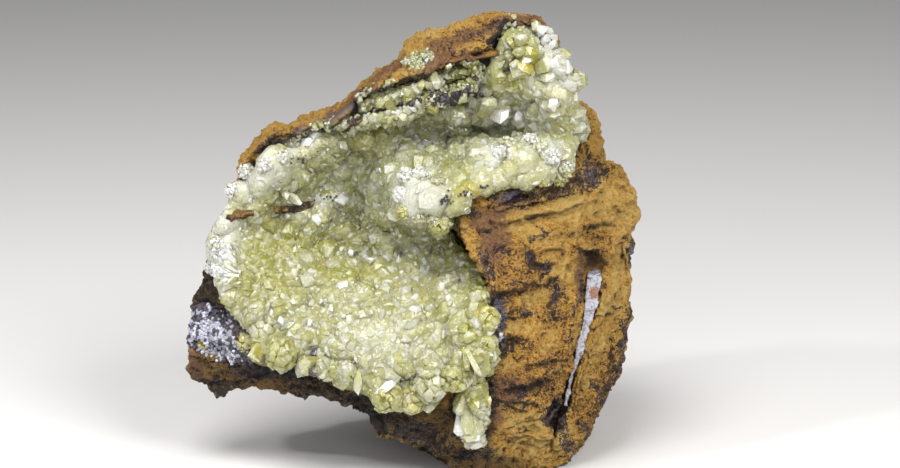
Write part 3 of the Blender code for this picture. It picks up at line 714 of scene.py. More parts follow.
# Joins crystals, each a dictionary of place, way, spin, width, length, tint and shape.
def growMesh(name, crystals):
    corners, faces, colours, count = [], [], [], 0
    lean, share = crystalForm["shoulder"], crystalForm["tipShare"]
    for one in crystals:
        points, sides = crystalShapes[one["shape"]]
        turn = one["way"].to_track_quat("Z", "Y").to_matrix() @ Matrix.Rotation(one["spin"], 3, "Z")
        wide = one["width"]
        grown = (points * (wide, wide * one.get("flat", 1), one["length"])) @ np.array(turn).T + one["place"]
        grown[:, 1] += max(0, cadBox[0][1] - crystalForm["proud"] * mm - grown[:, 1].min())
        corners.append(grown)
        faces.append(sides + count)
        tint, root = one["tint"]
        shoulder = tint * (1 - lean) + root * lean
        tip = tint * (1 - share) + np.array(crystalForm["tip"]) * share * min(1, tint.mean() * 1.7)
        middle = soften(0.42, 0.1, np.linalg.norm(points[:, :2], axis=1))[:, None]
        colour = np.where(points[:, 2:3] > 0.5, shoulder * (1 - middle) + tip * middle, root)
        colours.append(np.hstack((colour, points[:, 2:3])))
        count += len(points)
    corners, faces = np.vstack(corners), np.vstack(faces)
    mesh = bpy.data.meshes.new(name)
    mesh.from_pydata(corners, [], faces.tolist())
    brush(mesh, "tint", *np.vstack(colours).T)
    print(name, len(crystals), "crystals", len(faces), "triangles")
    return mesh


def facesOf(mesh):  # middles, ways and sizes of a mesh's triangles
    corners, faces = placesOf(mesh), trianglesOf(mesh)
    a, b, c = (corners[faces[:, k]] for k in range(3))
    ways = np.cross(b - a, c - a)
    sizes = np.linalg.norm(ways, axis=1)
    return (a + b + c) / 3, ways / np.maximum(sizes, 1e-15)[:, None], sizes / 2


def seatsOn(mesh, share, wanted, chance):  # random places on a mesh, more where the share of a face is high
    corners, faces, smooth = placesOf(mesh), trianglesOf(mesh), normalsOf(mesh)
    picks = chance.choice(len(faces), size=wanted, p=share / share.sum())
    slide = chance.random((wanted, 2))
    slide = np.where(slide.sum(axis=1, keepdims=True) > 1, 1 - slide, slide)
    a, b, c = (corners[faces[picks, k]] for k in range(3))
    return a + (b - a) * slide[:, :1] + (c - a) * slide[:, 1:], smooth[faces[picks]].mean(axis=1)


def outShare(mesh, tree, clear):  # the part of a crust that faces out of the stone
    middles, ways, sizes = facesOf(mesh)
    out = np.zeros(len(sizes))
    for i, (middle, way) in enumerate(zip(middles, ways)):
        near, facing, index, gap = tree.find_nearest(Vector(middle))
        if gap > clear * mm and (Vector(middle) - near).dot(Vector(way)) > 0:
            out[i] = sizes[i]
    return out


def patchShare(mesh, tree, blobs):  # the part of a surface that the eye sees inside some blobs
    middles, ways, sizes = facesOf(mesh)
    across, up = seenAt(middles + roughWay(middles, 1.4, 17) * 0.5 * mm)
    share = zone(across, up, blobs) * (ways @ towardEye > 0.05)
    for i in np.nonzero(share > 0.1)[0]:
        ray = Vector(middles[i]) - eyePlace
        hit, facing, index, gap = tree.ray_cast(eyePlace, ray.normalized())
        if hit is None or gap < ray.length - 0.5 * mm:
            share[i] = 0
    return np.where(share > 0.1, share * sizes, 0)


def spaced(seats, gaps, taken):  # seats that stand apart by their own gaps, and from those taken before
    places = [place for place, gap in taken] + [tuple(seat) for seat in seats]
    reaches = [gap for place, gap in taken] + [float(gap) for gap in gaps]
    tree = KDTree(len(places))
    for i, place in enumerate(places):
        tree.insert(place, i)
    tree.balance()
    widest, first = max(reaches), len(taken)
    used = [i < first for i in range(len(places))]
    for i in range(first, len(places)):
        near = tree.find_range(places[i], 0.5 * (reaches[i] + widest))
        used[i] = all(gap >= 0.5 * (reaches[i] + reaches[j]) for place, j, gap in near if used[j])
    kept = [i for i in range(first, len(places)) if used[i]]
    taken += [(places[i], reaches[i]) for i in kept]
    return [i - first for i in kept]


# Where the crust takes each tint, where its crystals are larger, finer or missing, and where painted shade
# darkens the bed.
tintZones = {
    "mist": [
        (-10, 43.5, 9, 3.6, 5), (2, 51, 8, 3.6, 20), (16, 53, 5, 3.4, 10), (4, 47.6, 5, 2, 15),
        (14, 57, 4, 2.4, 0), (-3, 53.2, 9, 1.4, 13), (2, 36.5, 5, 1.6, -20), (-6, 33.6, 6, 1.4, -10),
        (-17, 46, 5, 1.6, 20), (8, 62, 2, 3, 0),
    ],
    "olive": [
        (-6.6, 57.0, 1.8, 1.2, 25), (-1.5, 62.2, 1.9, 1.1, 20), (4.2, 58.8, 2.8, 1.6, 20),
        (0, 54.6, 5, 0.7, 13), (0, 57, 4, 0.8, 15), (-23.5, 36.4, 5, 1.6, -8), (-14, 34.5, 6, 1.5, -12),
        (-20, 43.0, 4, 2.4, 15), (-15, 47.2, 6, 1.4, 22), (3.2, 34.4, 5.5, 2.6, -25),
        (-22.5, 40.0, 3, 1.0, 0), (-8, 37.2, 8, 1.4, -3), (13, 61.0, 2, 1.4, 0), (6.8, 30, 1.2, 4, 20),
        (2, 47.0, 4, 1.4, 15),
    ],
    "lime": [
        (-21, 34.0, 8, 2.6, 0), (-25, 30.5, 5, 4.5, 0), (-8.4, 55.6, 1.6, 1.2, 25),
        (5.6, 60.4, 2.0, 1.0, 20), (-8, 11.6, 14, 1.8, 0), (7.4, 20, 2.0, 8, 0), (13, 43.9, 4, 0.9, 20),
        (12.6, 59, 3, 2.4, 0), (-24, 19, 6, 2.2, -10), (-14, 30, 8, 1.6, 0), (-6, 52, 6, 1.4, 18),
        (20, 52.6, 1.4, 2.6, 0),
    ],
    "cream": [(-9, 20, 12, 5, 0), (9.5, 54.5, 3, 2.4, 0), (0, 17, 6, 4, 0)],
    "milk": [
        (13.6, 46.5, 7.8, 3.3, 12), (9.6, 54.6, 2.0, 2.0, 0), (-22.5, 46.4, 3, 1.4, 30),
        (18.0, 58, 3.4, 5, 0), (-6, 19.5, 9, 4, 0),
    ],
    "frost": [
        (-26, 44.8, 4.4, 2.8, 32), (-31.0, 37.0, 2.6, 3.0, 0), (-31.8, 31.8, 3.2, 4.4, 0),
        (-1.2, 41.8, 3.4, 3.4, 20), (10, 47.2, 3, 1.0, 25), (18.2, 63, 1.6, 4.8, 32),
        (-19, 49.4, 5, 0.8, 25), (-15.5, 41.2, 2.4, 0.7, 5), (13.3, 53.6, 1.2, 1, 0),
        (16.6, 48.5, 2.6, 1.0, 0),
    ],
    "honey": [
        (-26, 18.2, 2.4, 1.8, 0), (-5, 10.8, 5, 0.9, 0), (5.6, 42.6, 2, 0.8, 20), (14.8, 60.6, 2.2, 1.4, 0),
    ],
}
crustZones = {
    "large": [  # larger crystals
        (-27, 19, 4, 3, 0), (-14, 14, 9, 2.6, 0), (-1, 12, 8, 3, 0), (7.5, 18, 3, 6, 0),
        (20, 56, 3, 5, 0), (14, 60, 3, 3, 0), (9, 54.5, 3, 2.5, 0), (-20, 31, 5, 4, 0),
    ],
    "fine": [  # finer crystals
        (12, 46.0, 10, 2.4, 22), (-1, 41.5, 4.4, 4, 20), (-26, 44.8, 5.5, 3, 32), (-31.5, 37, 3, 3, 0),
    ],
    "bare": [  # dark hollows between the lobes: no crystals, and painted shade on the bed
        (-17.4, 17.6, 0.9, 1.9, 0), (-18.8, 14.4, 2.4, 1.5, 0), (8.8, 15.4, 0.8, 2.2, 20),
        (-24.4, 17.0, 0.6, 1.0, 0), (-11.0, 11.9, 1.6, 0.8, -20), (9.8, 20.9, 0.7, 0.7, 0),
    ],
}
plainShares = {  # of each tint where no zone is
    "cream": 0.5, "lime": 0.45, "frost": 0.14, "olive": 0.06, "honey": 0.04, "mist": 0.12, "milk": 0.1,
}


def tintAt(across, up, places):  # how much of each tint there is at each place
    mood = rough(places, 2.6, 5) * 0.6 + rough(places, 1.1, 6) * 0.35
    shares = np.column_stack([np.full(len(across), plainShares[name]) for name in tintNames])
    shares[:, tintNames.index("cream")] += mood
    shares[:, tintNames.index("lime")] -= mood
    for name, zones in tintZones.items():
        strong = zone(across, up, zones)[:, None]
        only = np.eye(len(tintNames))[tintNames.index(name)] * 0.85 + shares * 0.15
        shares = shares * (1 - strong * 0.85) + only * strong * 0.85
    shares = np.clip(shares, 0.01, None)
    return shares / shares.sum(axis=1, keepdims=True)


def pickTint(chance, shares):  # tip and root colours: half the local blend, half one tint by chance
    pick = chance.choice(len(tintNames), p=shares)
    bright = chance.uniform(0.93, 1.07)
    return [(shares @ table * 0.5 + table[pick] * 0.5) * bright for table in (tintTable, rootTable)]


def oneTint(name, bright=1.0):
    k = tintNames.index(name)
    return [table[k] * bright for table in (tintTable, rootTable)]


# Layers of crystals: how many are tried, width in mm, length in widths, lean, share sunk, gap in widths.
crystalLayers = {
    "crust": [
        (9000, (1.6, 2.8), (0.9, 1.2), 0.32, 0.72, 0.60),
        (20000, (0.9, 1.5), (1.0, 1.5), 0.42, 0.7, 0.54),
        (40000, (0.45, 0.8), (1.0, 1.8), 0.55, 0.55, 0.56),
    ],
    "small": [
        (1500, (1.4, 2.2), (1.0, 1.3), 0.4, 0.68, 0.44),
        (2500, (0.9, 1.5), (1.0, 1.6), 0.5, 0.66, 0.5),
        (3500, (0.45, 0.8), (1.0, 1.8), 0.6, 0.55, 0.55),
    ],
    "pocket": [
        (2500, (0.8, 1.4), (0.9, 1.3), 0.5, 0.72, 0.55),
        (4500, (0.45, 0.8), (1.0, 1.5), 0.6, 0.62, 0.55),
    ],
    "lip": [
        (1500, (1.6, 2.4), (0.9, 1.2), 0.4, 0.7, 0.5),
        (3000, (0.8, 1.4), (0.9, 1.4), 0.5, 0.6, 0.5),
    ],
    "corner": [
        (3500, (0.6, 1.0), (0.8, 1.2), 0.6, 0.74, 0.55),
        (6000, (0.35, 0.6), (0.9, 1.4), 0.8, 0.6, 0.6),
    ],
}


def crystalsOn(mesh, share, kind, chance):
    taken, crystals = [], []
    for tried, width, length, lean, sunk, gap in crystalLayers[kind]:
        seats, ways = seatsOn(mesh, share, tried, chance)
        across, up = seenAt(seats)
        covered = zone(across, up, crustZones["bare"]) < 0.4
        seats, ways, across, up = seats[covered], ways[covered], across[covered], up[covered]
        large, fine = zone(across, up, crustZones["large"]), zone(across, up, crustZones["fine"])
        shares = tintAt(across, up, seats)
        drift = roughWay(seats, 2.6, 6)
        grade = (1 + crystalForm["larger"] * large, 1 - crystalForm["finer"] * fine)
        widths = chance.uniform(*width, len(seats)) * grade[0] * grade[1] * mm
        for i in spaced(seats, widths * gap, taken):
            way = Vector(ways[i] + (drift[i] * 1.2 + chance.normal(size=3) * 0.6) * lean).normalized()
            long = widths[i] * chance.uniform(*length)
            crystals.append({
                "place": seats[i] - np.array(way) * long * sunk, "way": way,
                "spin": chance.uniform(0, fullTurn), "width": widths[i], "length": long,
                "tint": pickTint(chance, shares[i]), "shape": int(chance.integers(prismKinds)),
            })
    return crystals


# Rounded fans of crystals: core and reach in radii, crystals for each mm of radius, widths in mm. Each
# lobe has across, up, radius, how far out of the surface its middle stands in radii, and tint.
rosetteForm = {
    "core": 0.82,
    "often": 12,
    "reach": (0.84, 1.1),
    "widths": (1.4, 2.4),
    "bright": 1.14,
    "lobes": [
        (-27.6, 20.0, 1.6, 0.0, "honey"), (-24.9, 21.2, 2.0, 0.0, "cream"), (-22.2, 18.2, 2.6, 0.0, "lime"),
        (-20.0, 19.0, 1.8, 0.0, "cream"), (-14.9, 15.8, 1.8, 0.0, "lime"), (-12.4, 15.4, 1.6, 0.0, "cream"),
        (-6.4, 11.6, 2.6, 0.0, "lime"), (-2.7, 11.2, 2.4, 0.0, "honey"), (0.2, 13.2, 2.6, 0.0, "cream"),
        (3.8, 14.4, 2.3, 0.0, "lime"), (8.6, 19.4, 1.7, 0.0, "lime"), (8.7, 23.4, 1.9, 0.0, "honey"),
        (7.4, 26.4, 1.8, 0.0, "lime"), (5.8, 20.6, 2.2, 0.1, "lime"), (6.9, 12.4, 1.9, 0.1, "lime"),
        (5.4, 10.8, 1.8, 0.1, "lime"), (1.4, 37.6, 1.8, 0.1, "lime"),
    ],
}
knobForm = {  # sugary knobs of fine crystals
    "core": 0.86,
    "often": 26,
    "reach": (0.86, 1.10),
    "widths": (0.55, 1.1),
    "bright": 1.05,
    "lobes": [
        (20.2, 46.0, 1.5, 0.3, "milk"), (18.4, 47.6, 1.3, 0.4, "frost"), (16.6, 49.0, 1.3, 0.4, "milk"),
        (14.9, 49.8, 1.4, 0.4, "frost"), (13.2, 50.2, 1.3, 0.4, "milk"), (11.8, 49.4, 1.3, 0.3, "milk"),
        (10.2, 48.2, 1.2, 0.3, "frost"), (19.4, 44.4, 1.3, 0.2, "honey"), (17.0, 44.0, 1.0, 0.1, "honey"),
        (-3.6, 44.8, 1.3, 0.2, "frost"), (-1.6, 45.0, 1.4, 0.3, "frost"), (1.0, 43.8, 1.2, 0.2, "cream"),
        (-4.4, 42.0, 1.3, 0.2, "frost"), (-4.0, 39.4, 1.2, 0.2, "honey"), (-1.4, 38.4, 1.3, 0.2, "cream"),
        (0.8, 38.4, 1.4, 0.3, "cream"), (2.2, 37.8, 1.2, 0.3, "lime"), (-27.6, 45.4, 1.4, 0.2, "frost"),
        (-24.8, 46.2, 1.3, 0.2, "frost"), (-29.6, 42.6, 1.3, 0.1, "frost"), (-22.2, 47.6, 1.2, 0.1, "frost"),
        (-31.6, 39.4, 1.2, 0.1, "frost"), (-32.2, 34.4, 1.4, 0.1, "frost"), (-32.6, 31.0, 1.4, 0.1, "frost"),
    ],
}


def rosetteCrystals(tree, chance, form):
    crystals = []
    for across, up, radius, stand, tint in form["lobes"]:
        middle = seenPlace(tree, across, up, radius * (stand - 0.35))
        if middle is None:
            continue
        shares = np.eye(len(tintNames))[tintNames.index(tint)] * 0.7
        shares[tintNames.index("cream")] += 0.12
        shares[tintNames.index("lime")] += 0.18
        size = 2 * form["core"] * radius * mm
        colours = [(shares @ tintTable + shares @ rootTable) / 2] * 2
        crystals.append({
            "place": np.array(middle), "way": eyeRise, "spin": chance.uniform(0, fullTurn),
            "width": size, "length": size, "tint": colours, "shape": int(chance.choice(knobKinds)),
        })
        count = int(form["often"] * radius)
        for k in range(count):
            tall = 1 - 1.5 * (k + 0.5) / count
            turn = k * goldenTurn + chance.uniform(-0.3, 0.3)
            flat = math.sqrt(1 - tall * tall)
            way = eyeRight * math.cos(turn) * flat + eyeRise * math.sin(turn) * flat - eyeLook * tall
            way = (way + Vector(chance.normal(size=3)) * 0.1).normalized()
            length = radius * chance.uniform(*form["reach"]) * mm
            start = min(0.5 * radius * mm, length * 0.5)
            crystals.append({
                "place": np.array(middle) + np.array(way) * start, "way": way,
                "spin": chance.uniform(0, fullTurn), "width": chance.uniform(*form["widths"]) * mm,
                "length": length - start,
                "tint": [tint * form["bright"] for tint in pickTint(chance, shares)],
                "shape": int(chance.integers(prismKinds)),
            })
    return crystals


# Single crystals that stand out: across, up, turn as the eye sees it (0 right, 90 up), lean toward the
# eye (0 flat, 90 straight at it), width, flatness, length, tint.
singleForm = {
    "bright": 1.12,
    "sunk": 0.5,
    "crystals": [
        (5.6, 12.6, 60, 40, 2.2, 0.8, 3.2, "honey"), (7.6, 13.2, 40, 30, 2.0, 0.8, 3.0, "lime"),
        (6.4, 10.8, -60, 40, 2.2, 0.8, 3.6, "lime"), (8.0, 11.2, -20, 35, 1.8, 0.8, 3.0, "honey"),
        (4.8, 10.4, -110, 30, 2.0, 0.8, 3.6, "cream"), (5.6, 8.6, -86, 22, 2.5, 0.7, 5.6, "cream"),
        (6.7, 8.4, -79, 22, 2.2, 0.7, 5.2, "cream"), (4.7, 8.0, -96, 22, 2.0, 0.7, 4.8, "frost"),
        (5.9, 6.8, -84, 24, 2.2, 0.7, 4.2, "cream"), (6.6, 6.6, -76, 24, 1.6, 0.7, 3.6, "frost"),
        (-10.8, 13.6, -90, 15, 1.7, 1, 3.6, "cream"), (-6.6, 12.8, 40, 10, 2.0, 0.8, 3.4, "frost"),
        (0.3, 10.6, -135, 25, 2.2, 0.8, 3.6, "cream"), (6.6, 16.6, -62, 15, 1.7, 0.8, 4.4, "cream"),
        (5.3, 17.2, -80, 20, 1.3, 0.8, 3.6, "lime"), (13.4, 53.5, 125, 50, 2.1, 0.7, 2.6, "frost"),
        (8.6, 55.2, 60, 45, 3.0, 0.8, 3.6, "cream"), (10.4, 53.8, -20, 50, 2.6, 0.8, 3.2, "frost"),
        (7.4, 53.2, 160, 45, 2.4, 0.8, 3.0, "cream"), (15.2, 63.2, 100, 50, 3.0, 0.9, 3.2, "lime"),
        (17.0, 61.4, 20, 50, 2.8, 0.9, 3.0, "cream"), (14.2, 61.0, 200, 55, 2.6, 0.9, 2.8, "honey"),
        (17.8, 59.6, -10, 55, 2.4, 0.8, 2.6, "milk"), (18.4, 55.4, 30, 65, 2.6, 0.8, 2.6, "milk"),
        (18.6, 54.0, -30, 60, 2.2, 0.8, 2.6, "cream"), (16.6, 48.9, 118, 25, 0.95, 1, 2.3, "frost"),
        (-20.6, 41.4, -35, 25, 1.4, 0.9, 3.8, "milk"), (-21.8, 42.4, -70, 30, 1.2, 0.9, 3.0, "cream"),
        (-33.2, 20.2, 28, 12, 1.1, 0.7, 3.6, "honey"), (-34.2, 19.2, 150, 20, 0.9, 0.7, 1.6, "honey"),
        (19.6, 47.4, 20, 15, 1.1, 0.7, 3.0, "cream"), (20.4, 46.4, -10, 15, 1.0, 0.7, 2.8, "cream"),
        (20.2, 45.4, -38, 15, 1.1, 0.7, 2.8, "honey"), (19.2, 44.9, -65, 15, 0.9, 0.7, 2.4, "cream"),
        (12.2, 64.6, 130, 50, 2.0, 0.9, 2.4, "lime"), (13.6, 65.0, 80, 50, 2.2, 0.9, 2.6, "cream"),
        (14.9, 64.6, 40, 50, 2.0, 0.9, 2.4, "lime"), (12.0, 62.9, 180, 55, 2.2, 0.9, 2.4, "olive"),
        (13.4, 63.3, 100, 70, 2.4, 0.9, 2.4, "lime"), (14.4, 62.2, -40, 60, 2.0, 0.9, 2.4, "milk"),
        (12.8, 61.6, -110, 60, 2.0, 0.9, 2.2, "cream"), (-22.2, 22.6, 100, 55, 1.6, 0.8, 2.4, "frost"),
        (-18.0, 22.4, 95, 60, 1.2, 0.8, 2.0, "frost"), (-9.0, 32.0, 70, 55, 1.3, 0.8, 1.8, "frost"),
        (-11.8, 33.0, 100, 60, 1.3, 0.8, 1.8, "frost"),
    ],
}


def singleCrystals(tree, chance):
    crystals = []
    for across, up, turn, lean, width, flat, length, tint in singleForm["crystals"]:
        middle = seenPlace(tree, across, up, width * 0.35)
        if middle is None:
            continue
        way = seenWay(turn, lean)
        crystals.append({
            "place": np.array(middle - way * length * singleForm["sunk"] * mm), "way": way,
            "spin": chance.uniform(0, fullTurn), "width": width * mm, "flat": flat, "length": length * mm,
            "tint": oneTint(tint, singleForm["bright"]), "shape": int(chance.integers(prismKinds)),
        })
    return crystals


# Sprays of thin blades lying on the crust, sizes in mm. Each bunch has across, up, half width, half
# height, turn, spread, count and tint.
sprayForm = {
    "length": (1.8, 2.8),
    "width": (0.7, 1.2),
    "flat": 0.7,
    "lean": (5, 30),
    "sunk": 0.7,
    "bunches": [
        (-31.6, 33.6, 1.6, 1.4, 120, 14, 16, "frost"), (-31.8, 30.6, 1.4, 1.6, 160, 16, 22, "frost"),
        (-30.2, 28.4, 1.2, 1.0, 200, 16, 10, "cream"), (-29.4, 33.4, 1.0, 1.4, 100, 16, 8, "cream"),
    ],
}


def sprayCrystals(tree, chance):
    crystals, form = [], sprayForm
    for across, up, wide, tall, turned, spread, count, tint in form["bunches"]:
        for k in range(count):
            aside, above = across + chance.normal() * wide * 0.5, up + chance.normal() * tall * 0.5
            middle = seenPlace(tree, aside, above, 0.1)
            if middle is None:
                continue
            way = seenWay(turned + chance.normal() * spread, chance.uniform(*form["lean"]))
            length = chance.uniform(*form["length"]) * mm
            crystals.append({
                "place": np.array(middle - way * length * form["sunk"]), "way": way,
                "spin": chance.uniform(0, fullTurn), "width": chance.uniform(*form["width"]) * mm,
                "flat": form["flat"], "length": length, "tint": oneTint(tint, chance.uniform(0.9, 1.05)),
                "shape": int(chance.integers(prismKinds)),
            })
    return crystals


adamiteLook = {
    "transmission": 0.25,
    "ior": 1.73,
    "roughness": 0.12,
    "specular": 0.3,
    "glow": 0.6,  # light scattered under the surface
    "glowReach": 0.5,  # mm
    "absorbColour": (0.88, 0.90, 0.45),
    "absorbDensity": 180,
    "frost": (0.74, 0.75, 0.72),  # dulls the tips in clouds
    "green": (0.86, 0.87, 0.42),  # multiplies the colour in veils, but not where it is white
    "relief": 0.06,  # mm
}


def adamiteFinish():
    p = Paint("adamite")
    look = adamiteLook
    tint, high = p.brushed("tint"), p.brushed("tint", 3)
    cloud = p.noise(0.7, 3, 0.6)
    veil = p.noise(2.2, 2, 0.5)
    grain = p.noise(0.3, 2, 0.5)
    frosted = (cloud + (grain - 0.5) * 0.6).between(0.45, 0.75) * high * 0.45
    colour = p.mix(frosted, tint, look["frost"])
    white = (p.mask("tint", 2) - p.mask("tint", 0) * 0.6).between(0.05, 0.2)
    greened = (veil + (grain - 0.5) * 0.5).between(0.48, 0.70) * (1 - white) * 0.6
    colour = p.mix(greened, colour, p.mix(1.0, colour, look["green"], "MULTIPLY"))
    absorb = {"Color": look["absorbColour"], "Density": look["absorbDensity"]}
    volume = p.node("ShaderNodeVolumeAbsorption", None, absorb)
    p.plug(p.tree.nodes["Material Output"].inputs["Volume"], volume)
    return p.finish({
        "Base Color": colour, "Roughness": look["roughness"] + cloud.between(0.42, 0.7) * 0.3,
        "Normal": p.bump(grain, look["relief"]), "IOR": look["ior"],
        "Transmission Weight": look["transmission"], "Specular IOR Level": look["specular"],
        "Subsurface Weight": look["glow"], "Subsurface Radius": (1.0, 1.0, 1.0),
        "Subsurface Scale": look["glowReach"] * mm,
    })


def addPiece(name, mesh, finish, replaced=None):
    piece = linked(name, mesh)
    mesh.materials.clear()
    mesh.materials.append(finish)
    if replaced:
        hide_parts(replaced)
    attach(piece, "root")
    return piece


beds = {  # node, voxel in mm and how often it is smoothed
    "adamiteBed": ("adamite_crust", 0.45, 8),
    "nicheBed": ("niche_crust", 0.3, 4),
    "footBed": ("foot_crust", 0.3, 4),
}


def makeBed(name):
    node, voxel, smooth = beds[name]
    bed = remeshed(nodes[node].data.copy(), voxel, name, smooth)
    places = placesOf(bed)
    across, up = seenAt(places)
    # Painted shade: the bed turns near-black in the hollows between the lobes.
    bare = zone(across, up, crustZones["bare"])[:, None]
    tint = tintAt(across, up, places) @ rootTable * (1 - bare) + np.array(crystalForm["bare"]) * bare
    brush(bed, "tint", *tint.T, np.zeros(len(tint)))
    addPiece(name, bed, adamite, node)
    return bed


bedLook = {
    "raised": 0.34,  # between the crystals, mm
    "lumps": (1.1, 0.22),  # size and height, mm
    # What stands out more, or is hollow: across, up, half width, half height, turn, height.
    "masses": [
        (13.8, 46.8, 6.2, 2.4, 12, 1.7), (18.6, 45.6, 2.0, 1.8, 0, 1.0), (-1.2, 41.8, 3.0, 3.0, 20, 1.6),
        (-26, 44.8, 3.8, 2.2, 32, 0.9), (-31.6, 36.4, 2.0, 2.4, 0, 0.6), (-31.8, 31.4, 2.2, 3.0, 0, 0.8),
        (7.6, 43.4, 3.2, 1.0, 30, 0.8), (9.4, 54.6, 2.2, 1.8, 0, 1.0), (-17.4, 17.6, 1.1, 2.1, 0, -1.3),
        (-18.8, 14.2, 2.6, 1.6, 0, -1.2), (8.8, 15.4, 1.0, 2.4, 20, -1.2), (0.2, 14.0, 3.4, 2.4, 0, 0.2),
        (-5.6, 12.6, 3.2, 2.0, 0, 0.3), (-21.6, 18.6, 2.8, 2.0, 0, 0.5),
    ],
}


def swellBed(bed):
    places, ways = placesOf(bed), normalsOf(bed)
    across, up = seenAt(places + ways * rough(places, 1.8, 38)[:, None] * 0.8 * mm)
    swell = sum(zone(across, up, [blob]) * height for *blob, height in bedLook["masses"])
    swell *= 0.75 + 0.5 * rough(places, 2.2, 39)
    movePlaces(bed, places + ways * (swell * mm)[:, None])


def raiseBed(bed):
    places, ways = placesOf(bed), normalsOf(bed)
    size, height = bedLook["lumps"]
    movePlaces(bed, places + ways * ((bedLook["raised"] + rough(places, size, 37) * height) * mm)[:, None])


cornerLook = {  # scaly bluish-white crystals on the dark corner
    "whiteZones": [(-33, 19.6, 3.0, 2.6, -8), (-30.6, 18.2, 2.6, 1.6, 0), (-33.4, 23.2, 1.8, 1.0, -20)],
    "white": (0.42, 0.43, 0.52),
    "dark": (0.050, 0.042, 0.060),
    "stain": (0.06, 0.045, 0.06),
    # Where they also stand on the stone.
    "strips": [(-32.5, 21.5, 3.4, 2.6, -10), (-28.8, 17.6, 2.2, 0.6, 0), (10.3, 22.5, 0.6, 2.6, 0)],
    "voxel": 0.3,
    "relief": 0.12,  # mm
}


def makeCorner():
    look = cornerLook
    bed = remeshed(nodes["corner_crust"].data.copy(), look["voxel"], "cornerBed", 6)
    places = placesOf(bed)
    across, up = seenAt(places)
    share = zone(across, up, look["whiteZones"])[:, None] * (0.6 + 0.4 * rough(places, 1.0, 4))[:, None]
    ground = np.array(look["dark"]) * (1 - share) + np.array(look["white"]) * 0.5 * share
    brush(bed, "tint", *ground.T)
    grown = crystalsOn(bed, outShare(bed, stoneTree, 0.1), "corner", chance)
    grown += crystalsOn(rock.data, patchShare(rock.data, stoneTree, look["strips"]), "corner", chance)
    across, up = seenAt(np.array([one["place"] for one in grown]))
    pale = zone(across, up, look["whiteZones"]) * 0.75 + 0.12
    for one, likely in zip(grown, pale):
        tone = look["white"] if chance.random() < likely else look["dark"]
        tone = np.array(tone) * chance.uniform(0.7, 1.25)
        one["tint"] = [tone, tone * 0.7]
    druse = druseFinish()
    addPiece("cornerBed", bed, druse, "corner_crust")
    addPiece("cornerDruse", growMesh("cornerDruse", grown), druse)


def druseFinish():
    p = Paint("paleDruse")
    stain = p.noise(0.9, 4, 0.65)
    colour = p.mix(stain.between(0.52, 0.66) * 0.7, p.brushed("tint"), cornerLook["stain"])
    normal = p.bump(p.noise(0.3, 3), cornerLook["relief"])
    return p.finish({"Base Color": colour, "Roughness": 0.3 + stain * 0.4, "Normal": normal})


veinLook = {
    "white": (0.44, 0.44, 0.50),
    "grey": (0.13, 0.11, 0.15),
    "rust": (0.26, 0.13, 0.09),
    # Dark colour, mixed in toward the bottom and, as painted shade, under the arch at the vein's top.
    "wall": (0.045, 0.026, 0.032),
    # Painted shade under the arch at the vein's top.
    "archShadeZone": (24.2, 31.5, 2, 1.6, 0),
    "redZones": [(24.6, 27.2, 0.7, 0.9, 0), (22.6, 29.4, 0.5, 1.6, 0)],
    "lumps": [(1.1, 0.22), (0.5, 0.16)],  # size and height, mm
    "voxel": 0.16,
    "relief": 0.3,  # mm
}


def makeVein():
    look = veinLook
    mesh = remeshed(nodes["seam_vein"].data.copy(), look["voxel"], "veinFilling", 6)
    places, ways = placesOf(mesh), normalsOf(mesh)
    rise = sum(rough(places, size, 2 + k) * height for k, (size, height) in enumerate(look["lumps"]))
    movePlaces(mesh, places + ways * (rise * mm)[:, None])
    across, up = seenAt(places)
    # The first stain channel is painted shade under the arch at the top.
    archShade, red = zone(across, up, [look["archShadeZone"]]), zone(across, up, look["redZones"])
    low = soften(13, 10, up)
    brush(mesh, "stain", archShade, red, low)
    mesh.shade_smooth()
    addPiece("veinFilling", mesh, veinFinish(), "seam_vein")


def veinFinish():
    p = Paint("veinFilling")
    look = veinLook
    archShade, red, low = (p.mask("stain", part) for part in range(3))
    cloud = p.noise(0.8, 4, 0.65)
    grit = p.noise(0.3, 3, 0.6)
    greyed = cloud + (grit - 0.5) * 0.6 + archShade * 0.25 + low * 0.1
    colour = p.mix(greyed.between(0.48, 0.72), look["white"], look["grey"])
    colour = p.mix((red * 0.6 + (grit - 0.5)).between(0.2, 0.5), colour, look["rust"])
    # The vein darkens toward the bottom, and takes painted shade under the arch at its top.
    colour = p.mix((low * 0.5 + archShade * 0.35 + (cloud - 0.5) * 1.4).between(0.3, 0.6), colour, look["wall"])
    normal = p.bump(grit + cloud * 0.6, look["relief"])
    return p.finish({"Base Color": colour, "Roughness": 0.35 + cloud * 0.3, "Normal": normal})


beadLook = {
    "black": (0.012, 0.011, 0.013),
    "sheen": (0.070, 0.055, 0.080),
    "roughness": 0.22,
    "relief": 0.05,  # mm
    "bands": [  # across, up, half width, half height, turn, count, radius in mm
        (3.8, 56.4, 3.2, 0.9, 12, 120, 0.34), (-4, 55.4, 4.4, 0.5, 16, 70, 0.3),
        (-10, 53.6, 3, 0.35, 22, 26, 0.26), (11.6, 61.0, 0.8, 0.8, 0, 9, 0.24),
        (7.4, 59.0, 0.5, 1.0, 0, 8, 0.26), (2.3, 41.1, 0.8, 1.0, 0, 20, 0.16),
        (8.0, 43.0, 0.6, 0.4, 0, 8, 0.16), (-16, 41.3, 2.2, 0.6, 5, 12, 0.14),
        (5.2, 42.0, 1.2, 0.5, 20, 12, 0.16), (4.1, 14.2, 0.3, 0.3, 0, 3, 0.3),
        (-19, 47.4, 2.4, 0.6, 20, 7, 0.14),
    ],
}


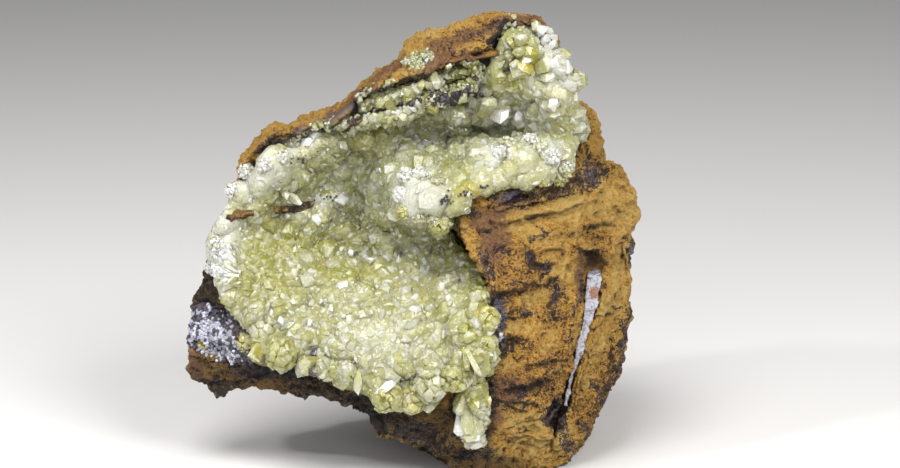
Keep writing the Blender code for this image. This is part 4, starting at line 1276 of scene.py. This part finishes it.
def makeBeads():
    tree = treeOf(joined("all", [rock.data, plates.data, bed, nicheBed]))
    bm = bmesh.new()
    for across, up, wide, tall, turned, count, radius in beadLook["bands"]:
        turn = math.radians(turned)
        for k in range(count):
            x, y = chance.normal() * wide * 0.5, chance.normal() * tall * 0.5
            aside = across + x * math.cos(turn) - y * math.sin(turn)
            above = up + x * math.sin(turn) + y * math.cos(turn)
            size = radius * chance.uniform(0.6, 1.4)
            middle = seenPlace(tree, aside, above, size * 0.5 + 0.15)
            if middle is not None:
                at = Matrix.Translation(middle)
                bmesh.ops.create_icosphere(bm, subdivisions=2, radius=size * mm, matrix=at)
    mesh = meshFrom(bm, "goethiteBeads")
    mesh.shade_smooth()
    print("beads", len(trianglesOf(mesh)), "triangles")
    addPiece("goethiteBeads", mesh, beadFinish())


def beadFinish():
    p = Paint("goethite")
    cloud = p.noise(1.6, 3, 0.6)
    colour = p.mix(cloud.between(0.5, 0.68), beadLook["black"], beadLook["sheen"])
    normal = p.bump(p.noise(0.2, 2), beadLook["relief"])
    roughness = beadLook["roughness"] + cloud * 0.3
    return p.finish({"Base Color": colour, "Roughness": roughness, "Normal": normal})


floorLook = {"size": 3, "drop": 0.0002, "colour": (0.76, 0.75, 0.74), "roughness": 0.7}  # m


def addFloor():
    bpy.ops.mesh.primitive_plane_add(size=floorLook["size"], location=(0, 0, -floorLook["drop"]))
    floor = bpy.context.object
    floor.name = "floor"
    p = Paint("floor")
    finish = p.finish({"Base Color": floorLook["colour"], "Roughness": floorLook["roughness"]})
    floor.data.materials.append(finish)


lamps = {  # place in m, width in m, power in W, colour
    "topSoft": {"place": (-0.10, -0.26, 0.50), "width": 0.26, "power": 2.4, "colour": (1, 0.99, 0.98)},
    "frontSoft": {"place": (-0.12, -0.58, 0.20), "width": 0.40, "power": 1.5, "colour": (1, 0.99, 0.97)},
    "sideSoft": {"place": (0.30, -0.42, 0.40), "width": 0.22, "power": 3.2, "colour": (1, 0.99, 0.97)},
    "glint": {"place": (-0.34, -0.24, 0.34), "width": 0.04, "power": 0.7, "colour": (1, 1, 1)},
}
worldLook = {"colour": (0.90, 0.91, 0.93), "strength": 0.23}


def addLights():
    for name, form in lamps.items():
        lamp = bpy.data.lights.new(name, "AREA")
        lamp.size = form["width"]
        lamp.energy = form["power"]
        lamp.color = form["colour"]
        holder = bpy.data.objects.new(name, lamp)
        holder.location = form["place"]
        toward = eyeView["aim"] - Vector(form["place"])
        holder.rotation_euler = toward.to_track_quat("-Z", "Y").to_euler()
        bpy.context.collection.objects.link(holder)
    world = bpy.data.worlds.new("studio")
    world.use_nodes = True
    sky = world.node_tree.nodes["Background"]
    sky.inputs["Color"].default_value = (*worldLook["colour"], 1)
    sky.inputs["Strength"].default_value = worldLook["strength"]
    bpy.context.scene.world = world


addCamera()
limonite = limoniteFinish()
crustTree = crustCorners()
rock = makeRock()
plates = makePlates()
stoneTree = treeOf(rock.data)
adamite = adamiteFinish()
chance = np.random.default_rng(3)
bed = makeBed("adamiteBed")
swellBed(bed)
plainStone = treeOf(nodes["limonite_matrix"].data)
mainCrystals = crystalsOn(bed, outShare(bed, plainStone, 0.5), "crust", chance)
raiseBed(bed)
# Each piece takes every third crystal, so all three hold all sizes: their names don't sort them by kind.
for k, name in enumerate(("adamiteCrystals", "adamitePrisms", "adamiteDruse")):
    addPiece(name, growMesh(name, mainCrystals[k::3]), adamite)

nicheBed = makeBed("nicheBed")
footBed = makeBed("footBed")
# The smaller crusts' crystals, the rosettes, knobs, single crystals and sprays are one piece.
sideCrystals = crystalsOn(nicheBed, outShare(nicheBed, stoneTree, 0.1), "small", chance)
sideCrystals += crystalsOn(footBed, outShare(footBed, stoneTree, 0.3), "small", chance)
sideCrystals += crystalsOn(rock.data, patchShare(rock.data, stoneTree, rockZones["pocket"]), "pocket", chance)
sideCrystals += crystalsOn(rock.data, patchShare(rock.data, stoneTree, rockZones["lip"]), "lip", chance)
seatTree = treeOf(joined("seats", [rock.data, plates.data, bed, nicheBed, footBed]))
sideCrystals += rosetteCrystals(seatTree, chance, rosetteForm)
sideCrystals += rosetteCrystals(seatTree, chance, knobForm)
sideCrystals += singleCrystals(seatTree, chance)
sideCrystals += sprayCrystals(seatTree, chance)
addPiece("adamiteRosettes", growMesh("adamiteRosettes", sideCrystals), adamite)
print("crystals done")

makeCorner()
makeVein()
print("corner and vein done")
makeBeads()
addFloor()
addLights()
bpy.context.scene.view_settings.view_transform = "Standard"
